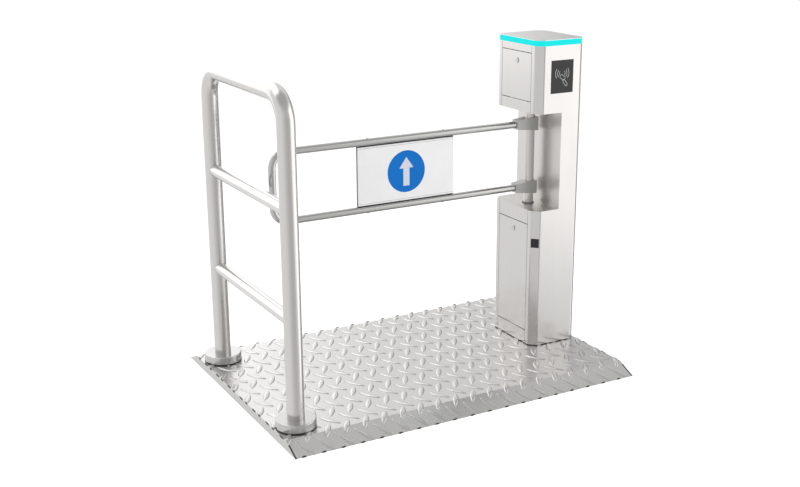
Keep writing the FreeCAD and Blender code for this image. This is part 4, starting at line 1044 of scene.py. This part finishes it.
@dataclass
class PanelTrim:
    """Dark rubber strips of painted shade along the top and bottom edges of the sign panel, where
    it meets the tubes, and its end tapes and border lines.
    """

    shade_strip_height: float = 2.4 * MM
    shade_strip_proud: float = 0.5 * MM
    tape: float = 0.3 * MM
    line_width: float = 1.4 * MM
    line_inset: float = 7.5 * MM
    line_film: float = 0.1 * MM
    round: float = 0.2 * MM

    def build(self) -> None:
        """Trim all four edges of the panel."""
        low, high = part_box("sign_panel")
        middle = (low + high) / 2
        size = high - low
        shade_strip_size = (size.x, size.y + 2 * self.shade_strip_proud, self.shade_strip_height)
        line_size = (size.x, self.line_film, self.line_width)
        tape_size = (self.tape, size.y, size.z - 2 * self.shade_strip_height)
        dark_strips, lines, tapes = [], [], []
        for way, corner in zip(SIDES, (low, high)):
            # The dark strips at the panel's top and bottom are painted shade where it meets the
            # tubes.
            shade_strip_z = corner.z - way * self.shade_strip_height / 2
            dark_strips.append(self.model_bar((middle.x, middle.y, shade_strip_z), shade_strip_size))
            line_z = corner.z - way * self.line_inset
            for out, face in zip(SIDES, (low.y, high.y)):
                place = (middle.x, face + out * self.line_film / 2, line_z)
                lines.append(self.model_bar(place, line_size))
            tape_x = corner.x + way * self.tape / 2
            tapes.append(self.model_bar((tape_x, middle.y, middle.z), tape_size))
        hand_over(joined(dark_strips), "panel_edge_shade", "arm", RUBBER_AND_SHADE)
        hand_over(joined(lines), "panel_lines", "arm", LINE_FILM)
        hand_over(joined(tapes), "panel_tapes", "arm", GREY_RUBBER)

    def model_bar(self, place: Triple, size: Triple) -> Piece:
        """Model a bar with rounded edges.

        Args:
            place: The bar's middle.
            size: Its sizes along X, Y and Z.

        Returns:
            The bar.
        """
        bar = started(bpy.ops.mesh.primitive_cube_add, size, size=1.0, location=place)
        with editing(bar):
            bpy.ops.mesh.bevel(offset=min(self.round, min(size) / 4), segments=2)
        return bar


@dataclass
class ReaderSymbol:
    """The card symbol printed on the reader window: a card held out to a pair of waves."""

    film: float = 0.12 * MM
    stroke: float = 1.3 * MM
    wave_radii: Triple = (11.5 * MM, 18.5 * MM, 26 * MM)
    wave_sweep: float = math.radians(38)
    wave_points: int = 64
    wave_rise: float = 10.5 * MM
    card_size: Pair = (20 * MM, 13 * MM)
    card_corner: float = 2.4 * MM
    card_tilt: float = math.radians(-34)
    card_place: Pair = (1.5 * MM, -2.5 * MM)
    thumb_size: Pair = (10 * MM, 25 * MM)
    thumb_corner: float = 4.8 * MM
    thumb_tilt: float = math.radians(36)
    thumb_place: Pair = (11.5 * MM, -20 * MM)
    corner_segments: int = 4

    def build(self) -> None:
        """Print the symbol on the window."""
        low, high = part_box("reader_window")
        front = ((low.x + high.x) / 2, low.y - self.film / 2, (low.z + high.z) / 2)
        turns = (0.0, math.pi)
        strokes = [self.model_wave(radius, turn) for radius in self.wave_radii for turn in turns]
        for size, corner, tilt, place in (
            (self.card_size, self.card_corner, self.card_tilt, self.card_place),
            (self.thumb_size, self.thumb_corner, self.thumb_tilt, self.thumb_place),
        ):
            strokes.append(self.laid(self.model_loop(size, corner), tilt, place))
        symbol = moved(joined(strokes), front, Face.FRONT.value)
        hand_over(symbol, "reader_symbol", "frame", SYMBOL_PRINT)

    def laid(self, stroke: Piece, tilt: float, place: Pair) -> Piece:
        """Return a flat stroke that was made a film, turned and moved to its place."""
        modify(stroke, "SOLIDIFY", thickness=self.film, offset=0.0)
        return moved(stroke, (*place, 0.0), (0.0, 0.0, tilt))

    def model_loop(self, size: Pair, corner: float) -> Piece:
        """Draw a rounded frame, flat round the origin.

        Args:
            size: Its width and height outside.
            corner: The radius of its corners.

        Returns:
            The frame.
        """
        loop = started(bpy.ops.mesh.primitive_plane_add, (*size, 1.0), size=1.0)
        with editing(loop):
            bpy.ops.mesh.bevel(offset=corner, segments=self.corner_segments, affect="VERTICES")
            bpy.ops.mesh.select_all(action="SELECT")
            bpy.ops.mesh.inset(thickness=self.stroke)
            bpy.ops.mesh.delete(type="FACE")
        return loop

    def model_wave(self, radius: float, turn: float) -> Piece:
        """Draw one arc of the waves at its place, flat.

        Args:
            radius: The arc's outside radius.
            turn: Which side it is on, as a turn about the middle.

        Returns:
            The arc.
        """
        wave = disc(self.wave_points, radius)
        with editing(wave):
            bpy.ops.mesh.inset(thickness=self.stroke)
            bpy.ops.mesh.delete(type="FACE")
            for side in SIDES:
                out = (-math.sin(self.wave_sweep), side * math.cos(self.wave_sweep), 0.0)
                bpy.ops.mesh.select_all(action="SELECT")
                bpy.ops.mesh.bisect(plane_co=(0, 0, 0), plane_no=out, clear_outer=True)
        return self.laid(wave, turn, (0.0, self.wave_rise))


# Studio


@dataclass(frozen=True)
class Viewpoint:
    """Where the picture is taken from."""

    place: Triple = (-1.74147, -3.12897, 1.48735)
    azimuth: float = math.radians(-28.78)
    elevation: float = math.radians(16.674)
    roll: float = math.radians(-0.377)
    focal_pixels: float = 1193.45
    image_width: float = 800.0
    sensor: float = 36.0

    def build(self) -> None:
        """Set the camera up."""
        data = bpy.data.cameras.new("viewpoint")
        data.sensor_width = self.sensor
        data.lens = self.focal_pixels / self.image_width * self.sensor
        camera = placed("viewpoint", data)
        bpy.context.scene.camera = camera
        matrix = Matrix.Translation(self.place)
        tilt = math.pi / 2 - self.elevation
        for angle, axis in ((self.azimuth, "Z"), (tilt, "X"), (self.roll, "Z")):
            matrix = matrix @ Matrix.Rotation(angle, 4, axis)
        camera.matrix_world = matrix


@dataclass(frozen=True)
class Softbox:
    """A large soft lamp that lights the gate without showing in the metal."""

    name: str
    place: Triple
    width: float
    height: float
    brightness: float
    aim: Triple = (0.0, 0.0, 0.45)

    def build(self) -> None:
        """Hang the lamp and turn it to the gate."""
        data = bpy.data.lights.new(self.name, "AREA")
        data.shape = "RECTANGLE"
        data.size, data.size_y = self.width, self.height
        data.energy = self.brightness * math.pi * self.width * self.height
        lamp = placed(self.name, data)
        lamp.location = self.place
        way = Vector(self.aim) - Vector(self.place)
        lamp.rotation_euler = way.to_track_quat("-Z", "Y").to_euler()
        lamp.visible_glossy = False


@dataclass(frozen=True)
class ReflectorCard:
    """A large soft-edged card far off, which only shows in the reflections of metal and glass."""

    name: str
    bearings: Pair
    heights: Pair
    tone: float
    soft_sides: Pair
    soft_ends: Pair
    distance: float = 9.0

    def build(self) -> None:
        """Set the card up."""
        mesh = bpy.data.meshes.new(self.name)
        mesh.from_pydata(self.corners(), [], [(0, 1, 2, 3)])
        for point, place in zip(mesh.uv_layers.new().data, ((0, 0), (1, 0), (1, 1), (0, 1))):
            point.uv = place
        card = placed(self.name, mesh)
        mesh.materials.append(self.material())
        for ray in ("camera", "diffuse", "transmission", "shadow", "volume_scatter"):
            setattr(card, "visible_" + ray, False)

    def corners(self) -> list[Vector]:
        """Return the card's corners, from its bearings and its heights as angles."""
        start, end = (math.radians(bearing) for bearing in self.bearings)
        foot, head = (math.radians(height) for height in self.heights)
        return [
            Vector((math.cos(bearing), math.sin(bearing), math.tan(height))) * self.distance
            for bearing, height in ((start, foot), (end, foot), (end, head), (start, head))
        ]

    def material(self) -> bpy.types.Material:
        """Return the card's paper, which fades out at its edges."""
        material = bpy.data.materials.new(self.name)
        on = Wiring.blank(material)
        place = on.add("SeparateXYZ", Vector=on.add("TexCoord")["UV"])
        shown: Any = 1.0
        for way, (near, far) in ((place["X"], self.soft_sides), (place["Y"], self.soft_ends)):
            for reach in ((0.0, near), (1.0, 1.0 - far)):
                shown = on.spread(way, 0.0, shown, reach, "SMOOTHSTEP")
        clear = on.add("BsdfTransparent")[0]
        glow = on.add("Emission", Color=grey(1.0), Strength=self.tone)[0]
        paper = on.add("MixShader", None, {0: shown, 1: clear, 2: glow})
        on.add("OutputMaterial", Surface=paper[0])
        material.cycles.emission_sampling = "NONE"
        return material


@dataclass
class Studio:
    """The pale floor, the white surroundings, the lamps and the cards."""

    floor_size: float = 30.0
    floor_drop: float = 0.2 * MM
    floor_tone: float = 0.86
    floor_lift: float = 0.56
    ambient: float = 0.55
    front_tone: float = 0.61
    front_power: float = 2.0
    ceiling_tone: float = 0.55
    ceiling_rise: Pair = (0.35, 0.85)
    ceiling_depth: Pair = (0.0, 0.45)
    lamps: tuple[Softbox, ...] = (
        Softbox("key_lamp", (2.3, -2.2, 1.7), 2.0, 1.8, 3.5),
        Softbox("fill_lamp", (-2.6, -2.4, 1.8), 2.0, 1.8, 2.3),
        Softbox("back_lamp", (-0.8, 2.8, 2.0), 2.4, 1.4, 0.8),
        Softbox("top_lamp", (0.0, -0.2, 3.0), 2.6, 2.2, 0.9),
    )
    cards: tuple[ReflectorCard, ...] = (
        ReflectorCard("right_card", (-68.0, -30.0), (-21.0, 42.0), 1.66, (0.45, 0.15), (0.22, 0.2)),
        ReflectorCard("side_card", (-42.0, 0.0), (-42.0, 42.0), 1.75, (0.2, 0.2), (0.1, 0.2)),
        ReflectorCard("far_card", (-4.0, 58.0), (-38.0, 34.0), 0.42, (0.15, 0.25), (0.1, 0.3)),
        ReflectorCard("back_card", (62.0, 140.0), (-3.5, 46.0), 1.6, (0.21, 0.2), (0.1, 0.25)),
        ReflectorCard("high_card", (70.0, 165.0), (32.0, 76.0), 2.4, (0.2, 0.2), (0.08, 0.2)),
    )

    def build(self) -> None:
        """Build the studio."""
        self.build_surroundings()
        self.build_floor()
        for piece in (*self.lamps, *self.cards):
            piece.build()
        bpy.context.scene.view_settings.view_transform = "Standard"

    def build_surroundings(self) -> None:
        """Light the gate from all round, and show white that is dimmer in front for metal."""
        world = bpy.data.worlds.new("surroundings")
        bpy.context.scene.world = world
        on = Wiring.blank(world)
        way = on.add("SeparateXYZ", Vector=on.add("TexCoord")["Generated"])
        frontward = on.spread(way["Y"], 1.0, 0.0, (-1.0, 0.0))
        front = on.reckon("POWER", frontward, self.front_power)
        level = on.spread(front, 1.0, self.front_tone)
        upward = on.spread(way["Z"], 0.0, 1.0, self.ceiling_rise, "SMOOTHSTEP")
        ceiling = on.spread(way["Y"], upward, 0.0, self.ceiling_depth, "SMOOTHSTEP")
        dimmed = on.spread(ceiling, level, self.ceiling_tone)
        path = on.add("LightPath")
        strength: Any = self.ambient
        for ray, shown in (("Glossy", dimmed), ("Transmission", dimmed), ("Camera", 1.0)):
            strength = on.spread(path[f"Is {ray} Ray"], strength, shown)
        light = on.add("Background", Color=grey(1.0), Strength=strength)
        on.add("OutputWorld", Surface=light[0])

    def build_floor(self) -> None:
        """Lay the floor, which the camera sees as white with the gate's shadow on it."""
        place = (0.0, 0.0, -self.floor_drop)
        floor = started(bpy.ops.mesh.primitive_plane_add, size=self.floor_size, location=place)
        floor.name = "studio_floor"
        material = bpy.data.materials.new("floor_paint")
        on = Wiring.blank(material)
        paint = on.add("BsdfDiffuse", Color=grey(self.floor_tone))[0]
        lift = on.spread(on.add("LightPath")["Is Camera Ray"], 0.0, self.floor_lift)
        glow = on.add("Emission", Color=grey(1.0), Strength=lift)[0]
        both = on.add("AddShader", None, {0: paint, 1: glow})
        on.add("OutputMaterial", Surface=both[0])
        floor.data.materials.append(material)
        floor.visible_glossy = False


def main() -> None:
    """Build the pieces in order."""
    logging.basicConfig(level=logging.INFO, format="%(name)s %(message)s")
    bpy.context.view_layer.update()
    dress_nodes()
    pieces = (TreadLugs(), FootShadowGaps(), RampEndBeads(), SignFilms(), PanelTrim(), ReaderSymbol())
    for piece in (*pieces, Viewpoint(), Studio()):
        piece.build()


if __name__ == "__main__":
    main()
